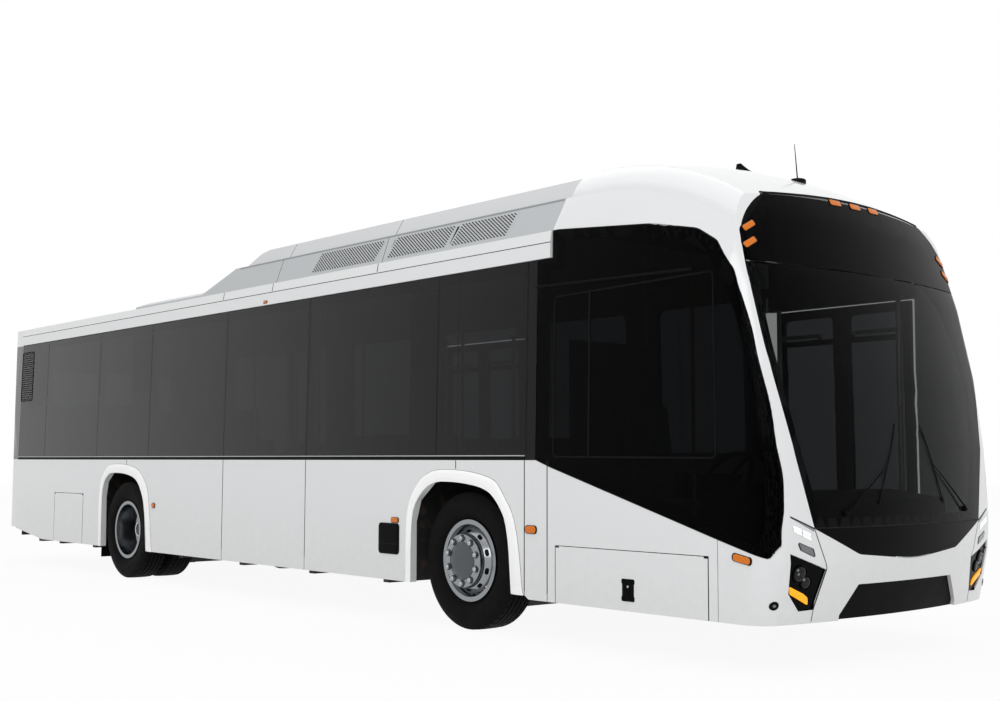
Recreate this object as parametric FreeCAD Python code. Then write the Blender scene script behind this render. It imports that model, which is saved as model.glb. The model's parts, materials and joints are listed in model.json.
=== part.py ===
"""City bus, electric low-floor, 12 m: body panels, glazing, running gear and cabin, in millimetres.

X points forward, Y to the left, Z up.  The origin is on the ground, below the middle of the bus.
The right side carries the driver, the left side carries the two passenger doors.
"""
import FreeCAD, Part
import math
import os
from FreeCAD import Vector

# ---------------------------------------------------------------- overall
NOSE_X = 6000.0             # foremost point, at the nose ridge
TAIL_X = -6000.0            # rearmost point, on the centre line
HALF_WIDTH = 1290.0         # side panels
SKIRT_Z = 315.0             # lower edge of the side panels
NOSE_SKIRT_Z = 290.0        # lower edge of the front overhang
TAIL_SKIRT_Z = 430.0        # lower edge of the rear overhang
BELT_Z = 1260.0             # lower edge of the side glass
CANT_Z = 2681.0             # upper edge of the side glass, where the roof sits
ROOF_EDGE_Z = 2874.0        # top of the cornice
ROOF_TOP_Z = 2930.0         # flat top of the roof
LEAN = 0.0173               # the glass leans in by this much for each unit of height
WALL = 60.0                 # whole thickness of a wall
GLASS = 8.0                 # glass and bonded panels
GAP = 6.0                   # shut line between panels
CLEAR = 8.0                 # running clearance round a lid or a door leaf
FIT = 0.3                   # air between curved faces that nearly meet

# ---------------------------------------------------------------- front form
NOSE_RADIUS = 5500.0        # bulge of the front, seen from above
FRONT_CORNER = 180.0        # corner radius, seen from above
RIDGE_Z = 850.0             # height of the nose ridge
CHIN_Z = 654.0              # below it the bumper falls back
CHIN_X = 5990.0
NOSE_BOW = 5850.0           # radius of the front, seen from the side, above the ridge
CHIN_RAKE = 0.207
DOME_TOP_Z = 3385.0         # crown of the front roof dome
DOME_START_X = 4300.0       # the crown is level behind this point
DOME_RADIUS = 2250.0        # its fall to the windscreen, seen from the side
DOME_SHOULDER = (HALF_WIDTH - 240, 100.0)    # half width, depth below the crown
DOME_CREASE = (HALF_WIDTH - 100, 290.0)
DOME_EAVE_DROP = 505.0
COWL_REAR_X = 3833.0        # rear end of the cowl at the glass
FRONT_POST_X = 5447.0       # shut line between side wall and corner panel

# ---------------------------------------------------------------- rear form
TAIL_RADIUS = 12500.0
TAIL_CORNER = 200.0
TAIL_TOP_RADIUS = 330.0
TAIL_SPLIT_X = -5640.0      # joint between the side walls and the rear wall
DEPARTURE_X = -4815.0       # the skirt rises behind this point

# ---------------------------------------------------------------- running gear
FRONT_AXLE_X = 3005.0
REAR_AXLE_X = -2673.0
TYRE_RADIUS = 513.0
TYRE_WIDTH = 278.0
RIM_RADIUS = 286.0
WHEEL_OUT_Y = HALF_WIDTH - 68       # outer sidewall of the steered tyres
TWIN_OUT_Y = HALF_WIDTH - 45        # outer sidewall of the driven tyres
TWIN_GAP = 42.0             # air between the twin rear tyres
KINGPIN_Y = WHEEL_OUT_Y - 322
SIDE_SPAN = (HALF_WIDTH - 290, HALF_WIDTH + 110)      # depths between which a left side wall is cut
WIDE = HALF_WIDTH + 110             # half width of the cutting blocks that go right across


# ================================================================ drawing helpers
def corner_arc(before, point, after, radius):
    """Tangent points and middle of the arc that rounds one corner of an outline."""
    to_before = (before - point).normalize()
    to_after = (after - point).normalize()
    half = to_before.getAngle(to_after) / 2
    reach = radius / math.tan(half)
    centre = point + (to_before + to_after).normalize() * (radius / math.sin(half))
    middle = centre + (point - centre).normalize() * radius
    return point + to_before * reach, middle, point + to_after * reach


def outline(points, axis):
    """Closed wire through (a, b) or (a, b, corner radius), in the plane across the axis."""
    place = {"x": lambda a, b: Vector(0, a, b), "y": lambda a, b: Vector(a, 0, b),
             "z": lambda a, b: Vector(a, b, 0)}[axis]
    corners = [place(p[0], p[1]) for p in points]
    radii = [p[2] if len(p) > 2 else 0 for p in points]
    edges, stops = [], []
    for i, corner in enumerate(corners):
        if radii[i]:
            stops.append(corner_arc(corners[i - 1], corner, corners[(i + 1) % len(corners)], radii[i]))
        else:
            stops.append((corner, None, corner))
    for i, (start, middle, end) in enumerate(stops):
        if middle is not None:
            edges.append(Part.Arc(start, middle, end).toShape())
        following = stops[(i + 1) % len(stops)][0]
        if end.distanceToPoint(following) > 1e-6:
            edges.append(Part.LineSegment(end, following).toShape())
    return Part.Wire(edges)


def prism(points, axis, low, high):
    """Solid with this outline across the axis, from low to high along it."""
    unit = {"x": Vector(1, 0, 0), "y": Vector(0, 1, 0), "z": Vector(0, 0, 1)}[axis]
    face = Part.Face(outline(points, axis))
    face.translate(unit * low)
    return face.extrude(unit * (high - low))


def box(x, y, z):
    """Block between the (low, high) pairs of each axis."""
    return Part.makeBox(x[1] - x[0], y[1] - y[0], z[1] - z[0], Vector(x[0], y[0], z[0]))


def rod(radius, start, end):
    """Round bar between two points."""
    start, end = Vector(*start), Vector(*end)
    return Part.makeCylinder(radius, (end - start).Length, start, end - start)


def turned(profile, centre):
    """Solid turned about the Y axis line through the centre; the profile is (radius, y, corner)."""
    wire = outline([(p[0], p[1]) + tuple(p[2:]) for p in profile], "z")
    wire.translate(Vector(centre[0], centre[1], centre[2]))
    return Part.Face(wire).revolve(Vector(*centre), Vector(0, 1, 0), 360)


def mirrored(shape):
    """The same shape on the other side of the bus."""
    return shape.mirror(Vector(0, 0, 0), Vector(0, 1, 0))


def both(shape):
    """The shape and its mirror image, as one compound."""
    return Part.makeCompound(shape.Solids + mirrored(shape).Solids)


def fused(shapes):
    """One shape made of all the given ones."""
    first, rest = shapes[0], shapes[1:]
    return first.fuse(rest).removeSplitter() if rest else first


def save(name, shape):
    """Write one sub-part, as its solids."""
    solids = shape.Solids
    assert solids and all(s.isValid() and s.Volume > 0 for s in solids), name
    result = solids[0] if len(solids) == 1 else Part.makeCompound(solids)
    result.exportStep("parts/" + name + ".step")


# ================================================================ body form
def nose_x(z):
    """Foremost point of the body on the centre line, at a height."""
    if z >= RIDGE_Z:
        return NOSE_X - NOSE_BOW + math.sqrt(NOSE_BOW ** 2 - (z - RIDGE_Z) ** 2)
    if z >= CHIN_Z:
        return CHIN_X + (NOSE_X - CHIN_X) * (z - CHIN_Z) / (RIDGE_Z - CHIN_Z)
    return CHIN_X - CHIN_RAKE * (CHIN_Z - z)


def end_plan(tip, way, bulge, corner, inset, root, z):
    """Plan outline of one end: a wide arc, two corner arcs and straight sides back to the root."""
    wide, small, half = bulge - inset, corner - inset, HALF_WIDTH - inset
    centre = tip - way * bulge
    reach = math.sqrt((wide - small) ** 2 - (half - small) ** 2)
    corner_x = centre + way * reach
    scale = wide / (wide - small)
    join_x, join_y = centre + way * reach * scale, (half - small) * scale
    aim = Vector(join_x - corner_x, join_y - (half - small), 0).normalize() + Vector(0, 1, 0)
    middle = Vector(corner_x, half - small, z) + aim.normalize() * small
    left = [Vector(root, half, z), Vector(corner_x, half, z), middle, Vector(join_x, join_y, z)]
    right = [Vector(p.x, -p.y, p.z) for p in left]
    tip_point = Vector(centre + way * wide, 0, z)
    return Part.Wire([
        Part.LineSegment(left[0], left[1]).toShape(), Part.Arc(left[1], left[2], left[3]).toShape(),
        Part.Arc(left[3], tip_point, right[3]).toShape(),
        Part.Arc(right[3], right[2], right[1]).toShape(), Part.LineSegment(right[1], right[0]).toShape(),
        Part.LineSegment(right[0], left[0]).toShape()])


def dome_drop(x):
    """How far the front roof has fallen below its crown."""
    run = max(0.0, x - DOME_START_X)
    return DOME_RADIUS - math.sqrt(DOME_RADIUS ** 2 - run ** 2)


def lean_y(z):
    """Half width of the leaning glass band at a height."""
    return HALF_WIDTH - LEAN * (z - BELT_Z)


def dome_section(x, inset):
    """Cross-section of the front body at a station, down to well below the skirt."""
    top = DOME_TOP_Z - dome_drop(x) - inset
    eave_z = top - DOME_EAVE_DROP + inset * 0.7
    out = LEAN * dome_drop(x) - inset
    left = [Vector(x, lean_y(0) - inset, 0), Vector(x, lean_y(eave_z) - inset, eave_z),
            Vector(x, DOME_CREASE[0] + out, top - DOME_CREASE[1] + inset * 0.5)]
    shoulder = Vector(x, DOME_SHOULDER[0] + out, top - DOME_SHOULDER[1])
    middle = (left[2] + shoulder) * 0.5 + Vector(0, 22, 18)
    right = [Vector(p.x, -p.y, p.z) for p in left]
    flip = [Vector(p.x, -p.y, p.z) for p in (middle, shoulder)]
    return Part.Wire([
        Part.LineSegment(left[0], left[1]).toShape(), Part.LineSegment(left[1], left[2]).toShape(),
        Part.Arc(left[2], middle, shoulder).toShape(),
        Part.Arc(shoulder, Vector(x, 0, top), flip[1]).toShape(),
        Part.Arc(flip[1], flip[0], right[2]).toShape(),
        Part.LineSegment(right[2], right[1]).toShape(), Part.LineSegment(right[1], right[0]).toShape(),
        Part.LineSegment(right[0], left[0]).toShape()])


def front_form(inset):
    """Solid front body, from the cowl's rear end to the nose, its surface set in by the inset."""
    root = COWL_REAR_X - 200
    levels = [100.0, CHIN_Z, RIDGE_Z, 1350.0, 1850.0, 2350.0, 2850.0, DOME_TOP_Z + 60]
    plan = Part.makeLoft([end_plan(nose_x(z), 1, NOSE_RADIUS, FRONT_CORNER, inset, root, z)
                          for z in levels], True, True)
    stations = [root - 10, DOME_START_X, 4750.0, 5100.0, 5400.0, 5650.0, 6100.0]
    dome = Part.makeLoft([dome_section(x, inset) for x in stations], True, False)
    return plan.common(dome)


def rear_form(inset):
    """Solid rear end of the body, its surface set in by the inset."""
    root = TAIL_SPLIT_X + 200
    plan = Part.Face(end_plan(TAIL_X, -1, TAIL_RADIUS, TAIL_CORNER, inset, root, 0))
    plan = plan.extrude(Vector(0, 0, 3000))
    tail, top = TAIL_X - 10 + inset + 10, ROOF_TOP_Z - inset
    side = prism([(root, 0), (root, top), (tail, top, TAIL_TOP_RADIUS - inset), (tail, 0)], "y", -WIDE, WIDE)
    half = roof_outline(inset)
    section = prism([(lean_y(0) - inset, 0)] + half + [(-y, z) for y, z in reversed(half)]
                    + [(-(lean_y(0) - inset), 0)], "x", TAIL_X - 10, root)
    return plan.common(side).common(section)


def roof_outline(inset):
    """Right-hand half of the roof outline, from the eave to the flat top."""
    edge = lean_y(ROOF_EDGE_Z) - inset
    return [(edge, ROOF_EDGE_Z - inset), (edge - 40, ROOF_EDGE_Z - inset),
            (ROOF_FLAT_Y - inset, ROOF_TOP_Z - inset)]


# ================================================================ side walls
# windows between the posts of the passenger space: (front edge x, rear edge x)
WINDOWS = [(3700.0, 2740.0), (2360.0, 940.0), (860.0, -500.0), (-580.0, -2030.0), (-2550.0, -3330.0),
           (-3410.0, -4780.0)]
PANE_SEAMS = [3732.0, 2709.0, 897.0, -541.0, -2110.0, -3368.0, -4829.0]    # joints between panes
WINDOW_SILL_Z = 1330.0
WINDOW_HEAD_Z = 2600.0
WINDOW_CORNER = 60.0
DOOR_TOP_Z = 2480.0
DOOR_SILL_Z = 345.0
# left-hand doorways: (name, rear edge x, front edge x)
DOORWAYS = [("front", 4030.0, 5270.0), ("middle", -300.0, 940.0)]
# underfloor lids of the right side: (name, rear edge x, front edge x, lower edge, upper edge)
HATCHES = [("front", 4027.0, 5380.0, NOSE_SKIRT_Z, 680.0), ("rear", -4480.0, -3678.0, SKIRT_Z, 878.0)]


def cab_sill():
    """Line where the cab's glass meets the white panel below, from rear to front."""
    return [(COWL_REAR_X, BELT_Z), (3975.0, 1211.0), (FRONT_POST_X, 781.0)]


# wheel openings in the side wall, and the outer edges of the mouldings round them, from the rear leg
FRONT_ARCH = [(2403.0, 0), (2400.0, 780.0), (2458.0, 948.0), (2648.0, 1098.0), (2968.0, 1098.0),
              (3298.0, 1056.0), (3434.0, 949.0), (3534.0, 792.0), (3600.0, 0)]
FRONT_FLARE = [(2346.0, SKIRT_Z), (2340.0, 800.0), (2395.0, 985.0), (2600.0, 1186.0), (3017.0, 1190.0),
               (3389.0, 1132.0), (3633.0, 825.0), (3709.0, NOSE_SKIRT_Z + 25)]
REAR_ARCH = [(-3180.0, 0), (-3202.0, 855.0), (-3154.0, 1020.0), (-3033.0, 1107.0), (-2920.0, 1120.0),
             (-2636.0, 1113.0), (-2376.0, 1065.0), (-2254.0, 945.0), (-2169.0, 792.0), (-2070.0, 0)]
REAR_FLARE = [(-3244.0, SKIRT_Z), (-3262.0, 870.0), (-3205.0, 1060.0), (-3060.0, 1195.0),
              (-2944.0, 1210.0), (-2659.0, 1214.0), (-2440.0, 1191.0), (-2263.0, 1148.0),
              (-2141.0, 1025.0), (-2067.0, 880.0), (-1968.0, SKIRT_Z)]
FLARE_OUT = 12.0
GROOVE = (6.0, 4.0)         # width and depth of the grooves between the skirt panels
# grooves in the skirt: (x, lower end), each running up to the glass
SKIRT_GROOVES = [(-2600.0, 1200.0), (-539.0, 0.0), (893.0, 0.0), (2740.0, 1150.0), (3716.0, 0.0), (3950.0, 0.0)]


def arch_cut(arch):
    """Wheel opening through the left side wall."""
    return prism(arch, "y", *SIDE_SPAN)


def side_wall(side_y):
    """One side wall: closed panel below the belt, posts and rails behind the glass above it."""
    lower = prism([(TAIL_SPLIT_X, TAIL_SKIRT_Z - 12), (DEPARTURE_X, SKIRT_Z), (3720, SKIRT_Z),
                   (3760, NOSE_SKIRT_Z), (FRONT_POST_X, NOSE_SKIRT_Z)]
                  + cab_sill()[::-1] + [(TAIL_SPLIT_X, BELT_Z)], "y",
                  HALF_WIDTH - WALL, HALF_WIDTH)
    foot, head = lean_y(BELT_Z) - GLASS, lean_y(CANT_Z) - GLASS
    thick = WALL - GLASS
    upper = prism([(foot, BELT_Z), (head, CANT_Z), (head - thick, CANT_Z), (foot - thick, BELT_Z)],
                  "x", TAIL_SPLIT_X, COWL_REAR_X)
    for high, low in WINDOWS:
        upper = upper.cut(prism([(low, WINDOW_SILL_Z, WINDOW_CORNER), (low, WINDOW_HEAD_Z, WINDOW_CORNER),
                                 (high, WINDOW_HEAD_Z, WINDOW_CORNER), (high, WINDOW_SILL_Z, WINDOW_CORNER)],
                                "y", *SIDE_SPAN))
    for x, foot_z in SKIRT_GROOVES:
        lower = lower.cut(box((x - GROOVE[0] / 2, x + GROOVE[0] / 2), (HALF_WIDTH - GROOVE[1], HALF_WIDTH + 1),
                              (foot_z, BELT_Z + 1)))
    wall = lower.fuse(upper)
    for arch in (FRONT_ARCH, REAR_ARCH):
        wall = wall.cut(arch_cut(arch))
    if side_y < 0:
        wall = mirrored(wall)
        for _, low, high, foot_z, head_z in HATCHES:
            wall = wall.cut(box((low, high), (-SIDE_SPAN[1], -SIDE_SPAN[0]), (foot_z - 50, head_z)))
            wall = wall.fuse(rod(HATCH_PIN, (low - 20, HATCH_PIN_Y, head_z - HATCH_PIN_DROP),
                                 (high + 20, HATCH_PIN_Y, head_z - HATCH_PIN_DROP)))
    else:
        for name, low, high in DOORWAYS:
            wall = wall.cut(box((low, high), SIDE_SPAN, (0, DOOR_TOP_Z)))
            if name == "middle":
                wall = wall.fuse(post_bearings(low, high))
    return wall.removeSplitter()


def side_glass(side_y):
    """Bonded panes of one passenger side, parted at the seams, with the doorway left free."""
    foot, head = lean_y(BELT_Z + GAP), lean_y(CANT_Z - GAP)
    band = prism([(foot, BELT_Z + GAP), (head, CANT_Z - GAP), (head - GLASS, CANT_Z - GAP),
                  (foot - GLASS, BELT_Z + GAP)], "x", TAIL_SPLIT_X + GAP / 2, COWL_REAR_X - GAP / 2)
    for seam in PANE_SEAMS:
        band = band.cut(box((seam - GAP / 2, seam + GAP / 2), SIDE_SPAN, (0, 3000)))
    if side_y < 0:
        return mirrored(band)
    for _, low, high in DOORWAYS:
        band = band.cut(box((low - GAP, high + GAP), SIDE_SPAN, (0, DOOR_TOP_Z + GAP)))
    return band


HATCH_PIN = 2.2
HATCH_BARREL = 4.2
HATCH_PIN_Y = -HALF_WIDTH + HATCH_BARREL
HATCH_PIN_DROP = 9.0        # hinge line, below the upper edge of the opening
HATCH_TOP_GAP = 16.0


def hatch_lid(low, high, foot_z, head_z):
    """Underfloor lid of the right side, flush in its opening, with its bored hinge barrel."""
    top, pin_z = head_z - HATCH_TOP_GAP, head_z - HATCH_PIN_DROP
    skin = box((low + CLEAR, high - CLEAR), (-HALF_WIDTH, -HALF_WIDTH + 30), (foot_z, top))
    rim = box((low + 60, high - 60), (-HALF_WIDTH + 30, -HALF_WIDTH + 50), (foot_z + 40, head_z - 60))
    core = box((low + 90, high - 90), (-HALF_WIDTH + 30, -HALF_WIDTH + 50), (foot_z + 70, head_z - 90))
    barrel = rod(HATCH_BARREL, (low + 40, HATCH_PIN_Y, pin_z), (high - 40, HATCH_PIN_Y, pin_z))
    web = box((low + 40, high - 40), (-HALF_WIDTH, -HALF_WIDTH + 2 * HATCH_BARREL), (top - 1, pin_z))
    bore = rod(HATCH_PIN + FIT, (low, HATCH_PIN_Y, pin_z), (high, HATCH_PIN_Y, pin_z))
    return skin.fuse([rim.cut(core), web, barrel]).cut(bore).removeSplitter()


def arch_flares():
    """Raised mouldings round the four wheel openings."""
    flares = [prism(edge, "y", HALF_WIDTH, HALF_WIDTH + FLARE_OUT).cut(arch_cut(arch))
              for edge, arch in ((FRONT_FLARE, FRONT_ARCH), (REAR_FLARE, REAR_ARCH))]
    return both(Part.makeCompound(flares))


def charge_cover():
    """Black cover of the charging socket, low on the right side."""
    return prism([(1985.0, 518.0, 30), (1985.0, 762.0, 30), (2254.0, 762.0, 30), (2254.0, 518.0, 30)], "y",
                 -HALF_WIDTH - 11, -HALF_WIDTH)


# ================================================================ roof
ROOF_INNER_DROP = 70.0
ROOF_FLAT_Y = HALF_WIDTH - 210      # half width of the flat roof sheet
COVE_Y = HALF_WIDTH - 68            # foot of the cove that falls from it to the cornice
CORNICE_OUT = 14.0                  # the cornice stands proud of the glass
GROOVE_Z = (2788.0, 2794.0)         # dark groove along the cornice
ROOF_SEAM_X = -2627.0               # seam between the two lengths of the roof sheet
TRIM_RISE = 32.0                    # low trim strip that leads up to the fairing
ROOF_FRONT_X = 3972.0       # front ends of the cornices
BULKHEAD_X = 4050.0         # foot of the leaning panel that closes the rear of the dome
FAIRING_REAR_X = -1160.0
FAIRING_KINK_X = -560.0
UPPER_REAR_X = -440.0
FAIRING_SKIN = 10.0
# outline of the battery fairing, half width and height: lower slope, ledge, upper slope, top
LOWER_TIER = [(HALF_WIDTH - 32, ROOF_EDGE_Z), (HALF_WIDTH - 112, 3108.0)]
UPPER_TIER = [(HALF_WIDTH - 178, 3130.0), (HALF_WIDTH - 254, 3262.0)]
FAIRING_CROWN_Z = 3330.0
LOUVRE_FIELDS = [(900.0, 1440.0), (1990.0, 2715.0), (2800.0, 3470.0)]
LOUVRE_SLOTS = 11
FAIRING_SEAMS = [310.0, 1939.0]     # grooves between the lengths of the fairing


def mirror_half(half):
    """Closed outline from its right-hand half, which runs from the bottom outside to the top."""
    return half + [(-y, z) for y, z in reversed(half)]


def roof_panel():
    """Roof in its lengthwise sections: the sheet in two lengths, a cove and a cornice on each side."""
    face, ceiling = lean_y(CANT_Z) + CORNICE_OUT, ROOF_TOP_Z - ROOF_INNER_DROP
    elbow = (HALF_WIDTH - 140, 2780.0)
    cornice = prism([(HALF_WIDTH - 110, CANT_Z), (face, CANT_Z), (face, GROOVE_Z[0]),
                     (face - 10, GROOVE_Z[0]), (face - 10, GROOVE_Z[1]), (face, GROOVE_Z[1]),
                     (HALF_WIDTH - 24, ROOF_EDGE_Z), (COVE_Y, ROOF_EDGE_Z), elbow],
                    "x", TAIL_SPLIT_X, ROOF_FRONT_X)
    cove = prism([elbow, (COVE_Y, ROOF_EDGE_Z), (ROOF_FLAT_Y, ROOF_TOP_Z), (ROOF_FLAT_Y - 40, ceiling)],
                 "x", TAIL_SPLIT_X, ROOF_FRONT_X)
    sheet = mirror_half([(ROOF_FLAT_Y - 40, ceiling), (ROOF_FLAT_Y, ROOF_TOP_Z)])
    tongue = box((ROOF_FRONT_X - 1, BULKHEAD_X - GAP), (80 - ROOF_FLAT_Y, ROOF_FLAT_Y - 80),
                 (ceiling, ROOF_TOP_Z))
    front = prism(sheet, "x", ROOF_SEAM_X, ROOF_FRONT_X).fuse(tongue).removeSplitter()
    rear = prism(sheet, "x", TAIL_SPLIT_X, ROOF_SEAM_X)
    return Part.makeCompound(both(cornice).Solids + both(cove).Solids + front.Solids + rear.Solids)


def tier(half, profile):
    """Roof hood section run along the bus and trimmed to its side profile."""
    return prism(mirror_half(half), "x", FAIRING_REAR_X - 10, 4300).common(prism(profile, "y", -WIDE, WIDE))


def hood(inset):
    """Solid form of the battery fairing, set in by the inset."""
    front = COWL_REAR_X + 205.0
    lean = 0.25
    top = FAIRING_CROWN_Z - inset
    lower = [(LOWER_TIER[0][0] - inset, LOWER_TIER[0][1]),
             (LOWER_TIER[1][0] - inset, LOWER_TIER[1][1] - inset)]
    upper = [(lower[1][0] - 60, LOWER_TIER[1][1] - inset - 60),
             (UPPER_TIER[0][0] - inset, UPPER_TIER[0][1] - inset),
             (UPPER_TIER[1][0] - inset, UPPER_TIER[1][1] - inset), (0, top)]
    run = inset * 1.6
    base = ROOF_EDGE_Z - (0 if inset == 0 else 20)
    low_part = tier(lower, [(FAIRING_REAR_X + run, base), (FAIRING_KINK_X + run, LOWER_TIER[1][1] - inset),
                            (front + lean * 240 - inset, LOWER_TIER[1][1] - inset),
                            (front - inset, ROOF_EDGE_Z), (front - inset, base)])
    if inset:
        foot_y = LOWER_TIER[0][0] - inset
        foot = box((FAIRING_REAR_X + run, front - inset), (-foot_y, foot_y), (base, ROOF_EDGE_Z))
        low_part = low_part.fuse(foot)
    high_part = tier(upper, [(UPPER_REAR_X + run, 3000), (UPPER_REAR_X + run, 3130.0 - inset),
                             (-300.0 + run, 3235.0 - inset), (150.0 + run, top),
                             (front + lean * (top - ROOF_EDGE_Z) - inset, top),
                             (front + lean * 126 - inset, 3000)])
    return low_part.fuse(high_part)


def roof_fairing():
    """Hollow battery fairing with slanted louvre slots in its lower slope."""
    whole = hood(0)
    shell = whole.cut(hood(FAIRING_SKIN))
    rind = whole.cut(hood(GROOVE[1]))
    for x in FAIRING_SEAMS:
        shell = shell.cut(rind.common(box((x - GROOVE[0] / 2, x + GROOVE[0] / 2), (-WIDE, WIDE),
                                          (ROOF_EDGE_Z, FAIRING_CROWN_Z + 50))))
    slots = []
    for low, high in LOUVRE_FIELDS:
        pitch = (high - low) / LOUVRE_SLOTS
        for i in range(LOUVRE_SLOTS):
            start = low + i * pitch
            slots.append(prism([(start, 2925), (start + 45, 3060), (start + 45 + pitch * 0.45, 3060),
                                (start + pitch * 0.45, 2925)], "y", HALF_WIDTH - 190, HALF_WIDTH + 10))
    cuts = Part.makeCompound(slots)
    roof = prism(mirror_half([(HALF_WIDTH + 10, 2700), (HALF_WIDTH + 10, ROOF_EDGE_Z),
                              (COVE_Y, ROOF_EDGE_Z), (ROOF_FLAT_Y, ROOF_TOP_Z)]),
                 "x", FAIRING_REAR_X - 20, 4400)
    strip = prism([(COVE_Y, ROOF_EDGE_Z), (COVE_Y - 8, ROOF_EDGE_Z + TRIM_RISE),
                   (ROOF_FLAT_Y + 12, ROOF_TOP_Z + TRIM_RISE - 6), (ROOF_FLAT_Y, ROOF_TOP_Z)],
                  "x", ROOF_SEAM_X, FAIRING_REAR_X - GAP)
    hood_shell = shell.cut(cuts).cut(mirrored(cuts)).cut(roof)
    return Part.makeCompound(hood_shell.Solids + both(strip).Solids)


def roof_batteries():
    """Roof battery packs, plain blocks under the fairing."""
    packs = [(-340.0, 900.0), (940.0, 2400.0), (2440.0, 3800.0)]
    return Part.makeCompound([box(span, (-950, 950), (ROOF_TOP_Z, ROOF_TOP_Z + (130 if i == 0 else 250)))
                              for i, span in enumerate(packs)])


# ================================================================ front body
DOME_REAR_X = 4045.0
# cab side glass, seen from the side: up its front edge, then back along the head
GLASS_FRONT = [(5807.0, 680.0, 20), (5855.0, 757.0, 20), (5864.0, 960.0, 800), (5858.0, 1180.0, 1500),
               (5800.0, 1600.0, 2000), (5690.0, 2080.0, 1500), (5580.0, 2430.0, 150), (5442.0, 2625.0, 100),
               (5283.0, 2722.0, 200), (4905.0, 2799.0, 900), (COWL_REAR_X + 145, 2880.0)]
# left-hand half of the windscreen with its header, seen from the front: (half width, height)
SCREEN_EDGE = [(HALF_WIDTH - 334, 856.0), (HALF_WIDTH - 205, 1310.0, 1500),
               (HALF_WIDTH - 95, 1850.0, 2000), (HALF_WIDTH - 77, 2400.0, 1500),
               (HALF_WIDTH - 102, 2690.0, 60), (HALF_WIDTH - 395, 2974.0, 60), (0.0, 3008.0, 9000)]
HEADER_SEAM_Z = 2480.0
MASK_FOOT_Z = 654.0


def glass_outline(shrink):
    """Cab side glass outline; a positive shrink gives the opening behind it."""
    sill = [(COWL_REAR_X + shrink, BELT_Z + shrink), (3975.0, 1211.0 + shrink),
            (FRONT_POST_X, 781.0 + shrink)]
    front = []
    for point in GLASS_FRONT[:-1]:
        drop = shrink if point[1] > 2400 else (-shrink if point[1] < 800 else 0)
        front.append((point[0] - shrink, point[1] - drop) + tuple(point[2:]))
    head = [(GLASS_FRONT[-1][0] + shrink, GLASS_FRONT[-1][1] - shrink),
            (GLASS_FRONT[-1][0] + shrink, CANT_Z - shrink), (COWL_REAR_X + shrink, CANT_Z - shrink)]
    return sill + front + head


def screen_outline(side, foot, head):
    """Windscreen outline in the front view, drawn in at its sides, foot and head."""
    half = []
    for i, point in enumerate(SCREEN_EDGE):
        lift = foot if i == 0 else (-head if i > 3 else 0)
        y = 0.0 if point[0] == 0 else point[0] - side
        half.append((y, point[1] + lift) + tuple(point[2:]))
    return half + [(-p[0],) + tuple(p[1:]) for p in reversed(half[:-1])]


def mask_outline(shrink):
    """Black panel below the windscreen: sloping sides and a bowed lower edge."""
    half = [(SCREEN_EDGE[0][0] - shrink, SCREEN_EDGE[0][1]), (700.0, 722.0 + shrink, 200)]
    tip = (0.0, MASK_FOOT_Z - 20 + shrink, 1600)
    return half + [tip] + [(-p[0],) + tuple(p[1:]) for p in reversed(half)]


def grille_outline(shrink):
    """Air intake in the bumper, seen from the front."""
    return [(735 - shrink, NOSE_SKIRT_Z - 60), (735 - shrink, NOSE_SKIRT_Z + 20),
            (540 - shrink, 506 - shrink), (-540 + shrink, 506 - shrink),
            (-735 + shrink, NOSE_SKIRT_Z + 20), (-735 + shrink, NOSE_SKIRT_Z - 60)]


POD = [(HALF_WIDTH - 148, 714.0), (HALF_WIDTH - 452, 609.0), (HALF_WIDTH - 387, 371.0),
       (HALF_WIDTH - 269, 367.0), (HALF_WIDTH - 170, 475.0)]


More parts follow.
